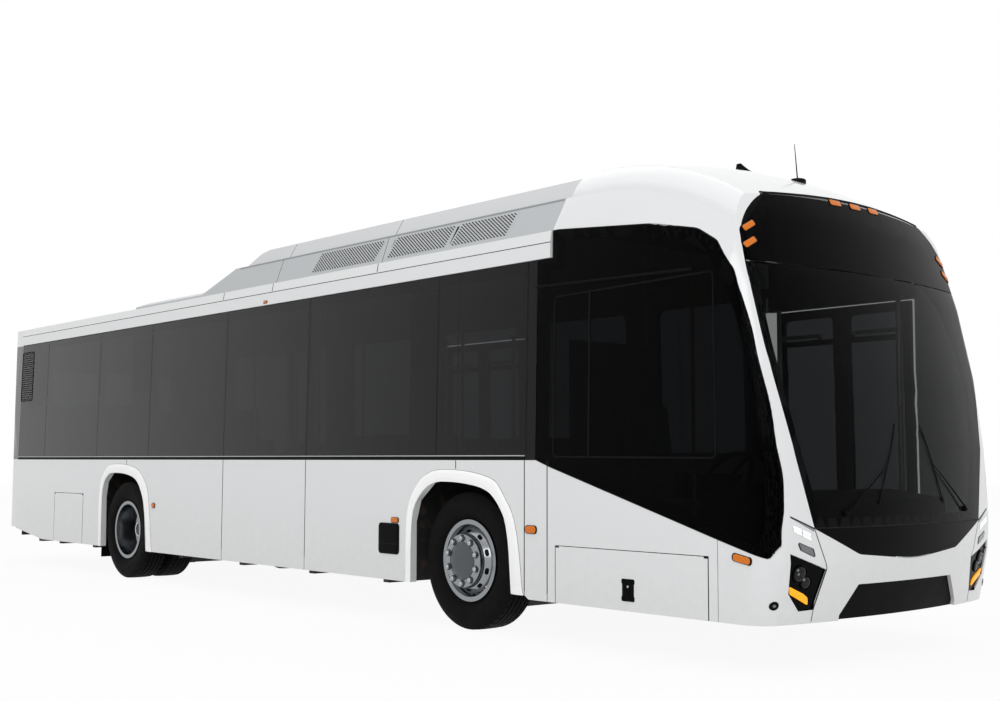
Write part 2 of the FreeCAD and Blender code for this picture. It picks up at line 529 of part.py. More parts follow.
def front_pieces():
    """Cowl, bumper, corner panels and all glazing of the front, cut from one body form."""
    solid, under, inner = front_form(0), front_form(GLASS), front_form(WALL)
    shell = solid.cut(inner).cut(box((0, 7000), (-WIDE, WIDE), (-50, NOSE_SKIRT_Z)))
    skin = solid.cut(under)
    outside = box((3000, 6500), (-1500, 1500), (0, 3600)).cut(under)
    ahead = (5000, 6300)
    right, left = (-SIDE_SPAN[1], -SIDE_SPAN[0]), SIDE_SPAN
    _, door_low, door_high = DOORWAYS[0]
    foot_y, foot_z = SCREEN_EDGE[0]
    pieces = {}

    cab = prism(glass_outline(0), "y", *right)
    cab_hole = prism(glass_outline(75), "y", *right)
    lintel = box((door_low - 60, door_high + 60), left, (DOOR_TOP_Z, 3000))
    screen = prism(screen_outline(0, 0, 0), "x", *ahead)
    screen_hole = prism(screen_outline(60, 60, 70), "x", *ahead)
    mask = prism(mask_outline(0), "x", *ahead)

    # upper and lower parts meet along the cab sill, then along the slit above the lamps
    sides = prism(cab_sill() + [(5807, 680), (5855, 757), (5864, 960), (5864, 1300), (COWL_REAR_X, 1300)],
                  "y", HALF_WIDTH - 140, WIDE)
    above = box((COWL_REAR_X - 300, 6400), (-WIDE, WIDE), (BELT_Z, 3700))
    crease = [(WIDE, 1000), (HALF_WIDTH - 95, 962), (HALF_WIDTH - 149, 937), (foot_y, foot_z)]
    slit = prism(crease + [(-y, z) for y, z in reversed(crease)] + [(-WIDE, 1300), (WIDE, 1300)],
                 "x", *ahead)
    slit = slit.common(box((5700, 6400), (-WIDE, WIDE), (0, 1300)))
    split = above.fuse([sides, mirrored(sides), slit])
    rear_edge = prism([(COWL_REAR_X, 0), (COWL_REAR_X, ROOF_EDGE_Z), (DOME_REAR_X, ROOF_EDGE_Z),
                       (DOME_REAR_X + 130, 3400), (6400, 3400), (6400, 0)], "y", -WIDE, WIDE)
    bulkhead = under.common(prism([(BULKHEAD_X, CEILING_Z), (BULKHEAD_X + 15, CEILING_Z),
                                   (BULKHEAD_X + 149, 3400), (BULKHEAD_X + 134, 3400)], "y", -WIDE, WIDE))
    cowl = shell.common(split).common(rear_edge)
    pockets = [cab.common(outside), mirrored(cab).common(outside), screen.common(outside)]
    cowl = cowl.cut(pockets).cut([cab_hole, mirrored(cab_hole).cut(lintel), screen_hole])
    cowl = cowl.cut(box((door_low, door_high), left, (0, DOOR_TOP_Z)))
    cowl = cowl.cut(box((COWL_REAR_X - 1, ROOF_FRONT_X + GAP), (-WIDE, WIDE), (CANT_Z, ROOF_EDGE_Z + 1)))
    pieces["front_cowl"] = fused([cowl, bulkhead, post_bearings(door_low, door_high)])

    glass_right = skin.common(prism(glass_outline(GAP), "y", *right))
    glass_left = mirrored(glass_right).cut(box((0, door_high + GAP), left, (0, DOOR_TOP_Z + GAP)))
    pieces["side_glass_right"] = Part.makeCompound(side_glass(-1).Solids + glass_right.Solids)
    pieces["side_glass_left"] = Part.makeCompound(side_glass(1).Solids + glass_left.Solids)
    pane = skin.common(prism(screen_outline(GAP, GAP, GAP), "x", *ahead))
    seam = box(ahead, (-WIDE, WIDE), (HEADER_SEAM_Z - GAP / 2, HEADER_SEAM_Z + GAP / 2))
    pieces["windscreen"] = pane.cut(seam)
    pieces["front_mask_panel"] = skin.common(prism(mask_outline(GAP), "x", *ahead)).common(
        box(ahead, (-WIDE, WIDE), (0, foot_z)))

    lower = shell.cut(split).common(box((FRONT_POST_X, 6400), (-WIDE, WIDE), (NOSE_SKIRT_Z, 1300)))
    lower = lower.cut(mask.common(outside))
    pod = prism(POD, "x", *ahead)
    grille = prism(grille_outline(0), "x", *ahead)
    lower = lower.cut([pod, mirrored(pod), grille])
    edge = [(foot_y, 900.0), (foot_y, foot_z), POD[1], POD[2], POD[3], (POD[3][0], 200.0)]
    centre = prism(edge + [(-y, z) for y, z in reversed(edge)], "x", *ahead)
    pieces["front_bumper"] = lower.common(centre)
    corner = lower.cut(centre).common(box((FRONT_POST_X + GAP, 6400), (0, WIDE), (0, 1300)))
    pieces["corner_panels"] = both(corner)
    depth = front_form(WALL - 10)
    pods = front_form(12).cut(depth).common(pod)
    pieces["headlamp_pods"] = both(pods)
    pieces["bumper_grille"] = front_form(25).cut(depth).common(grille).common(
        box(ahead, (-WIDE, WIDE), (NOSE_SKIRT_Z + 5, 900)))
    return pieces


# ================================================================ rear body
LID_HALF = HALF_WIDTH - 390
LID_FOOT_Z = 560.0
LID_HEAD_Z = 1425.0
LID_TOP_GAP = 20.0
LID_PIN = (-5991.0, 1412.0)     # hinge line, x and z
LID_PIN_RADIUS = 3.0
LID_BARREL = 8.0
LID_HINGE_Y = (512.0, 628.0)    # span of one hinge barrel
REAR_WINDOW = (HALF_WIDTH - 290, 1560.0, 2460.0)       # half width, sill, head
LAMP_COLUMN = (HALF_WIDTH - 330, HALF_WIDTH - 170, 620.0, 1380.0)     # inner and outer y, foot, head


def rear_pieces():
    """Rear wall with its window, service lid and lamps."""
    solid, under, inner = rear_form(0), rear_form(GLASS), rear_form(WALL)
    trim = box((TAIL_X - 50, TAIL_SPLIT_X), (-WIDE, WIDE), (TAIL_SKIRT_Z, 3000))
    shell = solid.cut(inner).common(trim)
    behind = (TAIL_X - 50, TAIL_SPLIT_X - 100)
    half, sill, head = REAR_WINDOW
    outside = box((-6200, -5300), (-1500, 1500), (0, 3200)).cut(under)

    def frame(shrink):
        return prism([(half - shrink, sill + shrink, 80), (half - shrink, head - shrink, 80),
                      (-half + shrink, head - shrink, 80), (-half + shrink, sill + shrink, 80)],
                     "x", *behind)
    lid_hole = box(behind, (-LID_HALF, LID_HALF), (LID_FOOT_Z, LID_HEAD_Z))
    lamp_in, lamp_out, lamp_foot, lamp_head = LAMP_COLUMN
    lamp_hole = both(box(behind, (lamp_in, lamp_out), (lamp_foot, lamp_head)))
    pieces = {}
    wall = shell.cut([frame(0).common(outside), frame(70), lid_hole]).cut(lamp_hole)
    pin_x, pin_z = LID_PIN
    near, far = LID_HINGE_Y
    carriers = [box((pin_x - 6, pin_x + 41), (y, y + 20), (pin_z - 5, LID_HEAD_Z + 20))
                for y in (near - 23, far + 3)]
    carriers.append(rod(LID_PIN_RADIUS, (pin_x, near - 10, pin_z), (pin_x, far + 10, pin_z)))
    carriers = fused(carriers)
    pieces["rear_wall"] = fused([wall, carriers, mirrored(carriers)])
    pieces["rear_window"] = solid.cut(under).common(frame(GAP))
    lid = box(behind, (-LID_HALF + CLEAR, LID_HALF - CLEAR), (LID_FOOT_Z + CLEAR, LID_HEAD_Z - LID_TOP_GAP))
    notch = box(behind, (near - 28, far + 28), (pin_z - 27, LID_HEAD_Z))
    barrel = rod(LID_BARREL, (pin_x, near, pin_z), (pin_x, far, pin_z))
    strap = box((pin_x - 6, pin_x + 26), (near, far), (pin_z - 47, pin_z))
    bore = rod(LID_PIN_RADIUS + FIT, (pin_x, near - 1, pin_z), (pin_x, far + 1, pin_z))
    hinge = fused([barrel, strap]).cut(bore)
    plate = solid.cut(rear_form(35)).common(lid).cut([notch, mirrored(notch)])
    pieces["rear_lid"] = fused([plate, hinge, mirrored(hinge)])
    lamps = []
    rows = 4
    pitch = (lamp_head - lamp_foot) / rows
    for i in range(rows):
        foot = lamp_foot + i * pitch
        top = foot + pitch - (5 if i < rows - 1 else 0)
        cell = box(behind, (lamp_in, lamp_out), (foot + (5 if i else 0), top))
        lamps.append(solid.cut(rear_form(40)).common(cell))
    pieces["tail_lamps"] = both(Part.makeCompound(lamps))
    return pieces


# ================================================================ floor and chassis
FLOOR_TOP_Z = 370.0
FLOOR_BASE_Z = 330.0
FLOOR_HALF = HALF_WIDTH - WALL
BAY_HALF_LENGTH = 640.0       # wheel box, each way from its axle
BAY_TOP_Z = 1135.0
FRONT_BAY_Y = 540.0
REAR_BAY_Y = 470.0
WHEEL_BAYS = [(FRONT_AXLE_X, FRONT_BAY_Y), (REAR_AXLE_X, REAR_BAY_Y)]     # axle, inner side
SHEET = 15.0
RAIL_Y = 330.0
RAIL_SIZE = (70.0, 80.0)
MOTOR_X = (-4550.0, -3700.0)
JACK_X = (2400.0, -2000.0)          # jacking pads below the rails
JACK_PAD = (100.0, 12.0)            # side and thickness
ANCHOR_X = (-150.0, 650.0)          # anchor plates of the wheelchair bay, on the right of the low floor
ANCHOR_PLATE = (160.0, 8.0)


PODIUM_Z = 800.0            # raised floor over the drive motor
PODIUM_FRONT_X = -3400.0
TAIL_BULKHEAD_X = -5610.0


def floor_deck():
    """Low floor with openings for the wheels, the raised rear floor with its step, and the post sockets."""
    edge = (-FLOOR_HALF, FLOOR_HALF)
    deck = box((PODIUM_FRONT_X - SHEET, 5500), edge, (FLOOR_BASE_Z, FLOOR_TOP_Z))
    parts, holes = [deck], []
    for axle_x, inner_y in WHEEL_BAYS:
        for side in (-1, 1):
            holes.append(box((axle_x - BAY_HALF_LENGTH, axle_x + BAY_HALF_LENGTH),
                             sorted((side * inner_y, side * (FLOOR_HALF + 10))), (0, BAY_TOP_Z)))
    parts.append(box((PODIUM_FRONT_X - SHEET, PODIUM_FRONT_X), edge, (FLOOR_TOP_Z, PODIUM_Z)))
    parts.append(box((TAIL_BULKHEAD_X, PODIUM_FRONT_X), edge, (PODIUM_Z - 2 * SHEET, PODIUM_Z)))
    parts.append(box((TAIL_BULKHEAD_X, TAIL_BULKHEAD_X + SHEET), (5 - FLOOR_HALF, FLOOR_HALF - 5),
                     (FLOOR_BASE_Z, REAR_WINDOW[1] - 60)))
    parts.append(box((PODIUM_FRONT_X, PODIUM_FRONT_X + 280), (-300, 300),
                     (FLOOR_TOP_Z, (FLOOR_TOP_Z + PODIUM_Z) / 2)))
    for _, low, high in DOORWAYS:
        for x in (low + POST_X_IN, high - POST_X_IN):
            parts.append(rod(POST_RADIUS + 12, (x, POST_Y, FLOOR_TOP_Z), (x, POST_Y, FLOOR_TOP_Z + 25)))
            holes.append(rod(POST_RADIUS + FIT, (x, POST_Y, FLOOR_TOP_Z), (x, POST_Y, FLOOR_TOP_Z + 26)))
    deck = parts[0].fuse(parts[1:]).cut(holes).removeSplitter()
    side, thick = ANCHOR_PLATE
    middle = 540 - HALF_WIDTH
    plates = [box((x - side / 2, x + side / 2), (middle - side / 2, middle + side / 2),
                  (FLOOR_TOP_Z, FLOOR_TOP_Z + thick)) for x in ANCHOR_X]
    return Part.makeCompound(deck.Solids + plates)


def wheel_boxes():
    """Boxes over the four wheels, standing on the floor round its openings."""
    boxes = []
    for axle_x, inner_y in WHEEL_BAYS:
        low, high = axle_x - BAY_HALF_LENGTH, axle_x + BAY_HALF_LENGTH
        outer = box((low - SHEET, high + SHEET), (inner_y - SHEET, FLOOR_HALF),
                    (FLOOR_TOP_Z, BAY_TOP_Z + SHEET))
        boxes.append(outer.cut(box((low, high), (inner_y, FLOOR_HALF + 10), (0, BAY_TOP_Z))))
    return both(Part.makeCompound(boxes))


def frame_rails():
    """The two rails of the ladder frame below the floor, with a jacking pad near each wheel."""
    width, depth = RAIL_SIZE
    under, middle, half = FLOOR_BASE_Z - depth, RAIL_Y + width / 2, JACK_PAD[0] / 2
    rail = box((TAIL_SPLIT_X + 200, 5350), (RAIL_Y, RAIL_Y + width), (under, FLOOR_BASE_Z))
    pads = [box((x - half, x + half), (middle - half, middle + half), (under - JACK_PAD[1], under))
            for x in JACK_X]
    return both(Part.makeCompound([rail] + pads))


CROSS_MEMBERS = [-5200.0, MOTOR_X[0] - 40, MOTOR_X[1] + 40, -1600.0, -400.0, 800.0, 1900.0, 4100.0, 5200.0]


OUTRIGGER_Y = FLOOR_HALF - 80


def cross_members():
    """Cross members of the ladder frame, between the rails and out to the sides."""
    base, top = FLOOR_BASE_Z - 60, FLOOR_BASE_Z
    bars = []
    for x in CROSS_MEMBERS:
        for y in ((-OUTRIGGER_Y, -RAIL_Y - RAIL_SIZE[0]), (-RAIL_Y, RAIL_Y),
                  (RAIL_Y + RAIL_SIZE[0], OUTRIGGER_Y)):
            bars.append(box((x - 40, x + 40), y, (base, top)))
    return Part.makeCompound(bars)


# ================================================================ wheels and axles
def tyre(outer_y):
    """Section of one tyre, standing inward from its outer sidewall."""
    width, crown, bead = TYRE_WIDTH, TYRE_RADIUS, RIM_RADIUS + FIT
    return [(bead, outer_y - 40), (bead + 30, outer_y - 34), (bead + 80, outer_y, 60),
            (crown - 60, outer_y - 4, 40), (crown, outer_y - 32, 12), (crown, outer_y - width + 32, 12),
            (crown - 60, outer_y - width + 4, 40), (bead + 80, outer_y - width, 60),
            (bead + 30, outer_y - width + 34), (bead, outer_y - width + 40)]


def hand_holes(axle_x, y_span, radius, circle, count):
    """Ring of round holes through a wheel disc."""
    holes = []
    for i in range(count):
        angle = 2 * math.pi * (i + 0.5) / count
        x, z = axle_x + circle * math.cos(angle), TYRE_RADIUS + circle * math.sin(angle)
        holes.append(rod(radius, (x, y_span[0], z), (x, y_span[1], z)))
    return Part.makeCompound(holes)


HUB_BORE = 45.0
RIM_LIP = 18.0              # height of the rim flange over the bead seat
HAND_HOLES = 10


def front_wheel(side_y):
    """Tyre and rim of one steered wheel; the disc stands outward and carries a hub cap."""
    centre = (FRONT_AXLE_X, 0, TYRE_RADIUS)
    y, inner, seat = WHEEL_OUT_Y, WHEEL_OUT_Y - TYRE_WIDTH, RIM_RADIUS
    rubber = turned(tyre(y), centre)
    rim = turned([(0, y - 58), (0, y - 2), (95, y - 2, 10), (120, y - 20), (200, y - 20), (245, y - 70),
                  (262, y - 40), (270, y - 20), (seat + RIM_LIP, y - 20), (seat + RIM_LIP, y - 33),
                  (seat, y - 39), (seat, inner + 39), (seat + RIM_LIP, inner + 33),
                  (seat + RIM_LIP, inner + 20), (seat - 14, inner + 20), (seat - 14, y - 100),
                  (235, y - 105), (190, y - 44), (110, y - 44), (110, y - 190), (HUB_BORE, y - 190),
                  (HUB_BORE, y - 58)], centre)
    rim = rim.cut(hand_holes(FRONT_AXLE_X, (y - 130, y), 24, 219, HAND_HOLES))
    return (rubber, rim) if side_y > 0 else (mirrored(rubber), mirrored(rim))


def rear_wheel(side_y):
    """Twin tyres and their dished rims, bolted back to back, of one driven wheel."""
    centre = (REAR_AXLE_X, 0, TYRE_RADIUS)
    y, seat, lip = TWIN_OUT_Y, RIM_RADIUS, RIM_RADIUS + RIM_LIP
    second = y - TYRE_WIDTH - TWIN_GAP
    mid, inner = twin_middle(), second - TYRE_WIDTH
    rubber = Part.makeCompound([turned(tyre(y), centre), turned(tyre(second), centre)])
    rim = turned([(0, mid + 100), (0, mid + 150), (85, mid + 150, 12), (110, mid + 90), (110, mid + 12),
                  (225, mid + 12), (262, mid + 60), (270, y - 20), (lip, y - 20), (lip, y - 33),
                  (seat, y - 39), (seat, mid + 60), (lip, mid + 54), (lip, mid + 40),
                  (seat - 8, mid + 30), (seat - 8, mid - 30), (lip, mid - 40), (lip, mid - 54),
                  (seat, mid - 60), (seat, inner + 39), (lip, inner + 33),
                  (lip, inner + 20), (seat - 14, inner + 20), (seat - 14, mid - 60), (225, mid - 12),
                  (110, mid - 12), (110, mid - 150), (HUB_BORE, mid - 150), (HUB_BORE, mid + 100)], centre)
    rim = rim.cut(hand_holes(REAR_AXLE_X, (mid - 30, mid + 50), 26, 180, HAND_HOLES))
    return (rubber, rim) if side_y > 0 else (mirrored(rubber), mirrored(rim))


def twin_middle():
    """Middle plane between the twin tyres."""
    return TWIN_OUT_Y - TYRE_WIDTH - TWIN_GAP / 2


KINGPIN_RADIUS = 26.0
BOSS_RADIUS = 38.0
FORK_GAP_Z = 85.0           # the knuckle's fork opens this far above and below the spindle


def knuckle(side_y):
    """Steering knuckle of one side: a fork round the kingpin, its wheel spindle and its arm."""
    x, y, z = FRONT_AXLE_X, KINGPIN_Y, TYRE_RADIUS
    fork = box((x - 60, x + 60), (y - 50, y + 90), (z - 150, z + 150))
    spindle = rod(HUB_BORE - FIT, (x, y + 80, z), (x, WHEEL_OUT_Y - 64, z))
    arm = box((x - 240, x - 60), (y - 30, y), (z - 140, z - 110))
    slot = box((x - 61, x + 61), (y - 60, y + 48), (z - FORK_GAP_Z, z + FORK_GAP_Z))
    bore = rod(KINGPIN_RADIUS, (x, y, z - 200), (x, y, z + 200))
    body = fused([fork, spindle, arm]).cut(slot).cut(bore).removeSplitter()
    return body if side_y > 0 else mirrored(body)


BEAM_BASE_Z = 140.0         # underside of the dropped middle of the front beam
BEAM_TOP_Z = 240.0


def front_axle():
    """Dropped axle beam with its kingpins and the spring seats that carry the frame."""
    x, y, z = FRONT_AXLE_X, KINGPIN_Y, TYRE_RADIUS
    half = [(y - 15, z - 60), (y - 15, z + 60), (y - 120, z + 60), (690, BEAM_TOP_Z)]
    under = [(-740, BEAM_BASE_Z), (740, BEAM_BASE_Z), (y - 70, z - 60)]
    beam = prism(half + [(-a, b) for a, b in reversed(half)] + [(-y + 70, z - 60)] + under,
                 "x", x - 45, x + 45)
    parts = [beam]
    for side in (-1, 1):
        parts.append(rod(BOSS_RADIUS, (x, side * y, z - 80), (x, side * y, z + 80)))
        parts.append(rod(KINGPIN_RADIUS - FIT, (x, side * y, z - 150), (x, side * y, z + 150)))
        parts.append(box((x - 60, x + 60), sorted((side * RAIL_Y, side * (RAIL_Y + RAIL_SIZE[0]))),
                         (BEAM_TOP_Z - 10, FLOOR_BASE_Z - RAIL_SIZE[1])))
    return fused(parts)


def rear_axle():
    """Portal drive axle: a low beam, a gear case at each end and the wheel spindles at hub height."""
    x, z = REAR_AXLE_X, TYRE_RADIUS
    parts = [box((x - 110, x + 110), (-600, 600), (BEAM_BASE_Z, BEAM_TOP_Z)),
             rod(HUB_BORE - FIT, (x, 500, z), (x, twin_middle() + 95, z)),
             rod(HUB_BORE - FIT, (x, -500, z), (x, -twin_middle() - 95, z))]
    for side in (-1, 1):
        parts.append(box((x - 150, x + 150), sorted((side * 490, side * 600)), (BEAM_BASE_Z, z + 130)))
        parts.append(box((x - 60, x + 60), sorted((side * RAIL_Y, side * (RAIL_Y + RAIL_SIZE[0]))),
                         (BEAM_TOP_Z - 10, FLOOR_BASE_Z - RAIL_SIZE[1])))
    return fused(parts)


def drive_motor():
    """Electric drive motor behind the rear axle, a plain block between the rails."""
    return box(MOTOR_X, (-320, 320), (FLOOR_BASE_Z - RAIL_SIZE[1], PODIUM_Z - 60))


def mud_flaps():
    """Flaps behind the rear wheels, hung from the floor's edge."""
    low = REAR_AXLE_X - BAY_HALF_LENGTH
    return both(box((low, low + 8), (640, FLOOR_HALF - 5), (190, FLOOR_TOP_Z)))


# ================================================================ doors
DOOR_GAP = 12.0             # air round each door leaf
LEAF_THICK = 40.0
LEAF_BORDER = 70.0
POST_X_IN = 75.0            # arm post, in from the doorway's edge
POST_Y = HALF_WIDTH - 120
POST_RADIUS = 20.0
ARM_PIVOT_SHARE = 0.75      # pivot of the leaf, as a share of its width from the post's side
ARM_HALF = 12.0
ARM_LEVELS = (640.0, 2250.0)
PIN_RADIUS = 12.0


def post_bearings(low, high):
    """Upper bearings of the two arm posts of a doorway, on the wall above it."""
    parts = []
    for x in (low + POST_X_IN, high - POST_X_IN):
        y = (POST_Y - 32, lean_y(DOOR_TOP_Z) - WALL + 2)
        block = box((x - 32, x + 32), y, (DOOR_TOP_Z + 2, DOOR_TOP_Z + 27))
        bore = rod(POST_RADIUS + FIT, (x, POST_Y, DOOR_TOP_Z), (x, POST_Y, DOOR_TOP_Z + 30))
        parts.append(block.cut(bore))
    return Part.makeCompound(parts)


def leaf_span(low, high):
    """Width of one leaf and the pivot's distance from the doorway's edge."""
    width = (high - low - 3 * DOOR_GAP) / 2
    return width, DOOR_GAP + width * ARM_PIVOT_SHARE


def leaf_profile(outer, inner, foot_z, head_z):
    """Section of a leaf between two depths, upright below the belt and leaning above it."""
    return [(HALF_WIDTH - outer, foot_z), (HALF_WIDTH - outer, BELT_Z), (lean_y(head_z) - outer, head_z),
            (lean_y(head_z) - inner, head_z), (HALF_WIDTH - inner, BELT_Z), (HALF_WIDTH - inner, foot_z)]


def door_leaf(start, width, pivot_x):
    """Frame, glass and hinge brackets of one leaf, between start and start + width."""
    foot, head = DOOR_SILL_Z, DOOR_TOP_Z - DOOR_GAP
    frame = prism(leaf_profile(GLASS, LEAF_THICK, foot, head), "x", start, start + width)
    low, high, top = start + LEAF_BORDER, start + width - LEAF_BORDER, head - LEAF_BORDER
    frame = frame.cut(prism([(low, foot + 90, 40), (low, top, 40), (high, top, 40), (high, foot + 90, 40)],
                            "y", *SIDE_SPAN))
    glass = prism(leaf_profile(0, GLASS, foot + 5, head - 5), "x", start + 3, start + width - 3)
    rails = [box((start + 30, start + width - 30), (lean_y(z) - LEAF_THICK - 4, lean_y(z) - LEAF_THICK + 12),
                 (z - 70, z - 25)) for z in ARM_LEVELS]
    brackets = [box((pivot_x - 20, pivot_x + 20), (POST_Y - 20, lean_y(z) - LEAF_THICK), (z - 65, z - 30))
                for z in ARM_LEVELS]
    pins = [rod(PIN_RADIUS - FIT, (pivot_x, POST_Y, z - 35), (pivot_x, POST_Y, z + 12)) for z in ARM_LEVELS]
    return fused([frame] + rails + brackets + pins), glass


def door_arm(post_x, pivot_x):
    """Upright post at the doorway's edge with the two arms that carry the leaf."""
    post = rod(POST_RADIUS, (post_x, POST_Y, FLOOR_TOP_Z + FIT), (post_x, POST_Y, DOOR_TOP_Z + 22))
    arms = []
    for z in ARM_LEVELS:
        bar = box(sorted((post_x, pivot_x)), (POST_Y - ARM_HALF, POST_Y + ARM_HALF), (z - 15, z + 15))
        eye = rod(PIN_RADIUS + 10, (pivot_x, POST_Y, z - 15), (pivot_x, POST_Y, z + 15))
        arms += [bar, eye]
    bored = fused([post] + arms)
    bores = [rod(PIN_RADIUS, (pivot_x, POST_Y, z - 40), (pivot_x, POST_Y, z + 40)) for z in ARM_LEVELS]
    return bored.cut(bores)


def doors():
    """Leaves, glass and arms of both doorways, by node name."""
    pieces = {}
    for name, low, high in DOORWAYS:
        width, reach = leaf_span(low, high)
        for half, edge, way in (("rear", low, 1), ("front", high, -1)):
            start = edge + DOOR_GAP if way > 0 else edge - DOOR_GAP - width
            pivot_x, post_x = edge + way * reach, edge + way * POST_X_IN
            leaf, glass = door_leaf(start, width, pivot_x)
            stem = name + "_door_" + half
            pieces[stem + "_leaf"] = leaf
            pieces[stem + "_glass"] = glass
            pieces[stem + "_arm"] = door_arm(post_x, pivot_x)
    return pieces


# ================================================================ cabin
CEILING_Z = ROOF_TOP_Z - ROOF_INNER_DROP
DRIVER_Y = 650 - HALF_WIDTH
SEAT_SIZE = (430.0, 440.0, 70.0)
# passenger seats: (x of the cushion's rear edge, y of its middle, height of the floor under it)
SEATS = [(x, y, floor) for x, floor in ((1850.0, FLOOR_TOP_Z), (1150.0, FLOOR_TOP_Z), (-1150.0, FLOOR_TOP_Z),
                                        (-1850.0, FLOOR_TOP_Z), (-4000.0, PODIUM_Z), (-4700.0, PODIUM_Z),
                                        (-5400.0, PODIUM_Z))
         for y in (310 - HALF_WIDTH, 770 - HALF_WIDTH, HALF_WIDTH - 770, HALF_WIDTH - 310)]
STEERING_HUB = (5000.0, DRIVER_Y, 1120.0)
STEERING_TILT = 60.0        # of the column from the vertical towards the front
COLUMN_RADIUS = 25.0


def seat(x, y, floor, wide=SEAT_SIZE[1]):
    """Plain seat facing forward: cushion, back and pedestal."""
    deep, _, thick = SEAT_SIZE
    top = floor + 450
    cushion = box((x, x + deep), (y - wide / 2, y + wide / 2), (top - thick, top))
    back = prism([(x, top - thick), (x + 60, top - thick), (x - 40, top + 650), (x - 90, top + 650)], "y",
                 y - wide / 2, y + wide / 2)
    leg = box((x + 100, x + 300), (y - 60, y + 60), (floor, top - thick))
    return fused([cushion, back, leg])


def passenger_seats():
    """Rows of passenger seats on the floor and on the raised rear floor."""
    return Part.makeCompound([seat(x, y, floor) for x, y, floor in SEATS])


def driver_seat():
    """Driver's seat on its pedestal."""
    return seat(4330.0, DRIVER_Y, FLOOR_TOP_Z + DRIVER_STEP, 480.0)


DRIVER_STEP = 180.0


def dashboard():
    """Driver's platform and the instrument panel across the front."""
    step = box((4100.0, 5500.0), (20 - FLOOR_HALF, -250.0), (FLOOR_TOP_Z, FLOOR_TOP_Z + DRIVER_STEP))
    panel = prism([(5300, FLOOR_TOP_Z), (5300, 900), (5150, 1010), (5200, 1060), (5640, 1000),
                   (5640, FLOOR_TOP_Z)], "y", 190 - HALF_WIDTH, HALF_WIDTH - 290)
    hood_top = box((5150.0, 5450.0), (DRIVER_Y - 300, DRIVER_Y + 300), (1000.0, 1120.0))
    column_seat = box((5130.0, 5310.0), (DRIVER_Y - 60, DRIVER_Y + 60), (800.0, 960.0))
    hub, axis = Vector(*STEERING_HUB), column_axis()
    column = rod(36, hub - axis * 100, hub - axis * 215)
    bore = rod(COLUMN_RADIUS + FIT, hub - axis * 99, hub - axis * 150)
    return fused([step, panel, hood_top, column_seat, column]).cut(bore)


def column_axis():
    """Direction of the steering column, up towards the driver."""
    tilt = math.radians(STEERING_TILT)
    return Vector(-math.sin(tilt), 0, math.cos(tilt))


def steering_wheel():
    """Steering wheel with its spokes and a stub of the column."""
    ring = Part.makeTorus(220, 16)
    hub = Part.makeCylinder(50, 60, Vector(0, 0, -50))
    spokes = [Part.makeBox(215, 30, 12, Vector(0, -15, -6)) for _ in range(3)]
    for i, spoke in enumerate(spokes):
        spoke.rotate(Vector(), Vector(0, 0, 1), 120 * i + 30)
    column = Part.makeCylinder(COLUMN_RADIUS, 105, Vector(0, 0, -150 + FIT))
    wheel = fused([ring, hub, column] + spokes)
    wheel.rotate(Vector(), Vector(0, 1, 0), -STEERING_TILT)
    wheel.translate(Vector(*STEERING_HUB))
    return wheel


def handrails():
    """Upright poles from floor to ceiling."""
    poles = [rod(16, (x, y, FLOOR_TOP_Z), (x, y, CEILING_Z)) for x in (3950.0, 1150.0, -450.0, -1700.0)
             for y in (-270.0, 270.0)]
    return Part.makeCompound(poles)


def driver_partition():
    """Panel behind the driver."""
    return box((4060.0, 4085.0), (110 - HALF_WIDTH, -300.0), (FLOOR_TOP_Z, 2100.0))


# ================================================================ lamps and aerials
def lamp(x, z, length, height, out=14.0):
    """Oblong side lamp on the right panel, and its twin on the left."""
    a, b, corner = length / 2, height / 2, height / 3
    body = prism([(x - a, z - b, corner), (x + a, z - b, corner), (x + a, z + b, corner),
                  (x - a, z + b, corner)], "y", HALF_WIDTH, HALF_WIDTH + out)
    return both(body)


# amber lamps of each side: x, z, length, height
SIDE_LAMPS = [(3786.0, 776.0, 95.0, 60.0), (2197.0, 787.0, 80.0, 44.0), (-1955.0, 790.0, 60.0, 55.0),
              (5610.0, 686.0, 150.0, 42.0)]
CORNICE_LAMP = (162.0, 2709.0, 74.0, 30.0)


def marker_lamps():
    """Amber lamps along both sides."""
    lamps = [lamp(x, z, length, height) for x, z, length, height in SIDE_LAMPS]
    x, z, length, height = CORNICE_LAMP
    face = lean_y(CANT_Z) + CORNICE_OUT
    lamps.append(both(box((x - length / 2, x + length / 2), (face, face + 9),
                          (z - height / 2, z + height / 2))))
    return Part.makeCompound([solid for item in lamps for solid in item.Solids])


def roof_aerials():
    """Shark-fin and whip aerials on the dome."""
    def top(x):
        return DOME_TOP_Z - dome_drop(x)
    whip = fused([rod(60, (5150, 0, top(5150) - 30), (5150, 0, top(5150) + 22)),
                  rod(5, (5150, 0, top(5150)), (5110, 0, top(5150) + 270))])
    crown = top(4700)
    fin = prism([(4560, crown - 20), (4760, crown - 20), (4640, crown + 90), (4600, crown + 90)],
                "y", -30, 30)
    form = front_form(0)
    return Part.makeCompound(whip.cut(form).Solids + fin.cut(form).Solids)


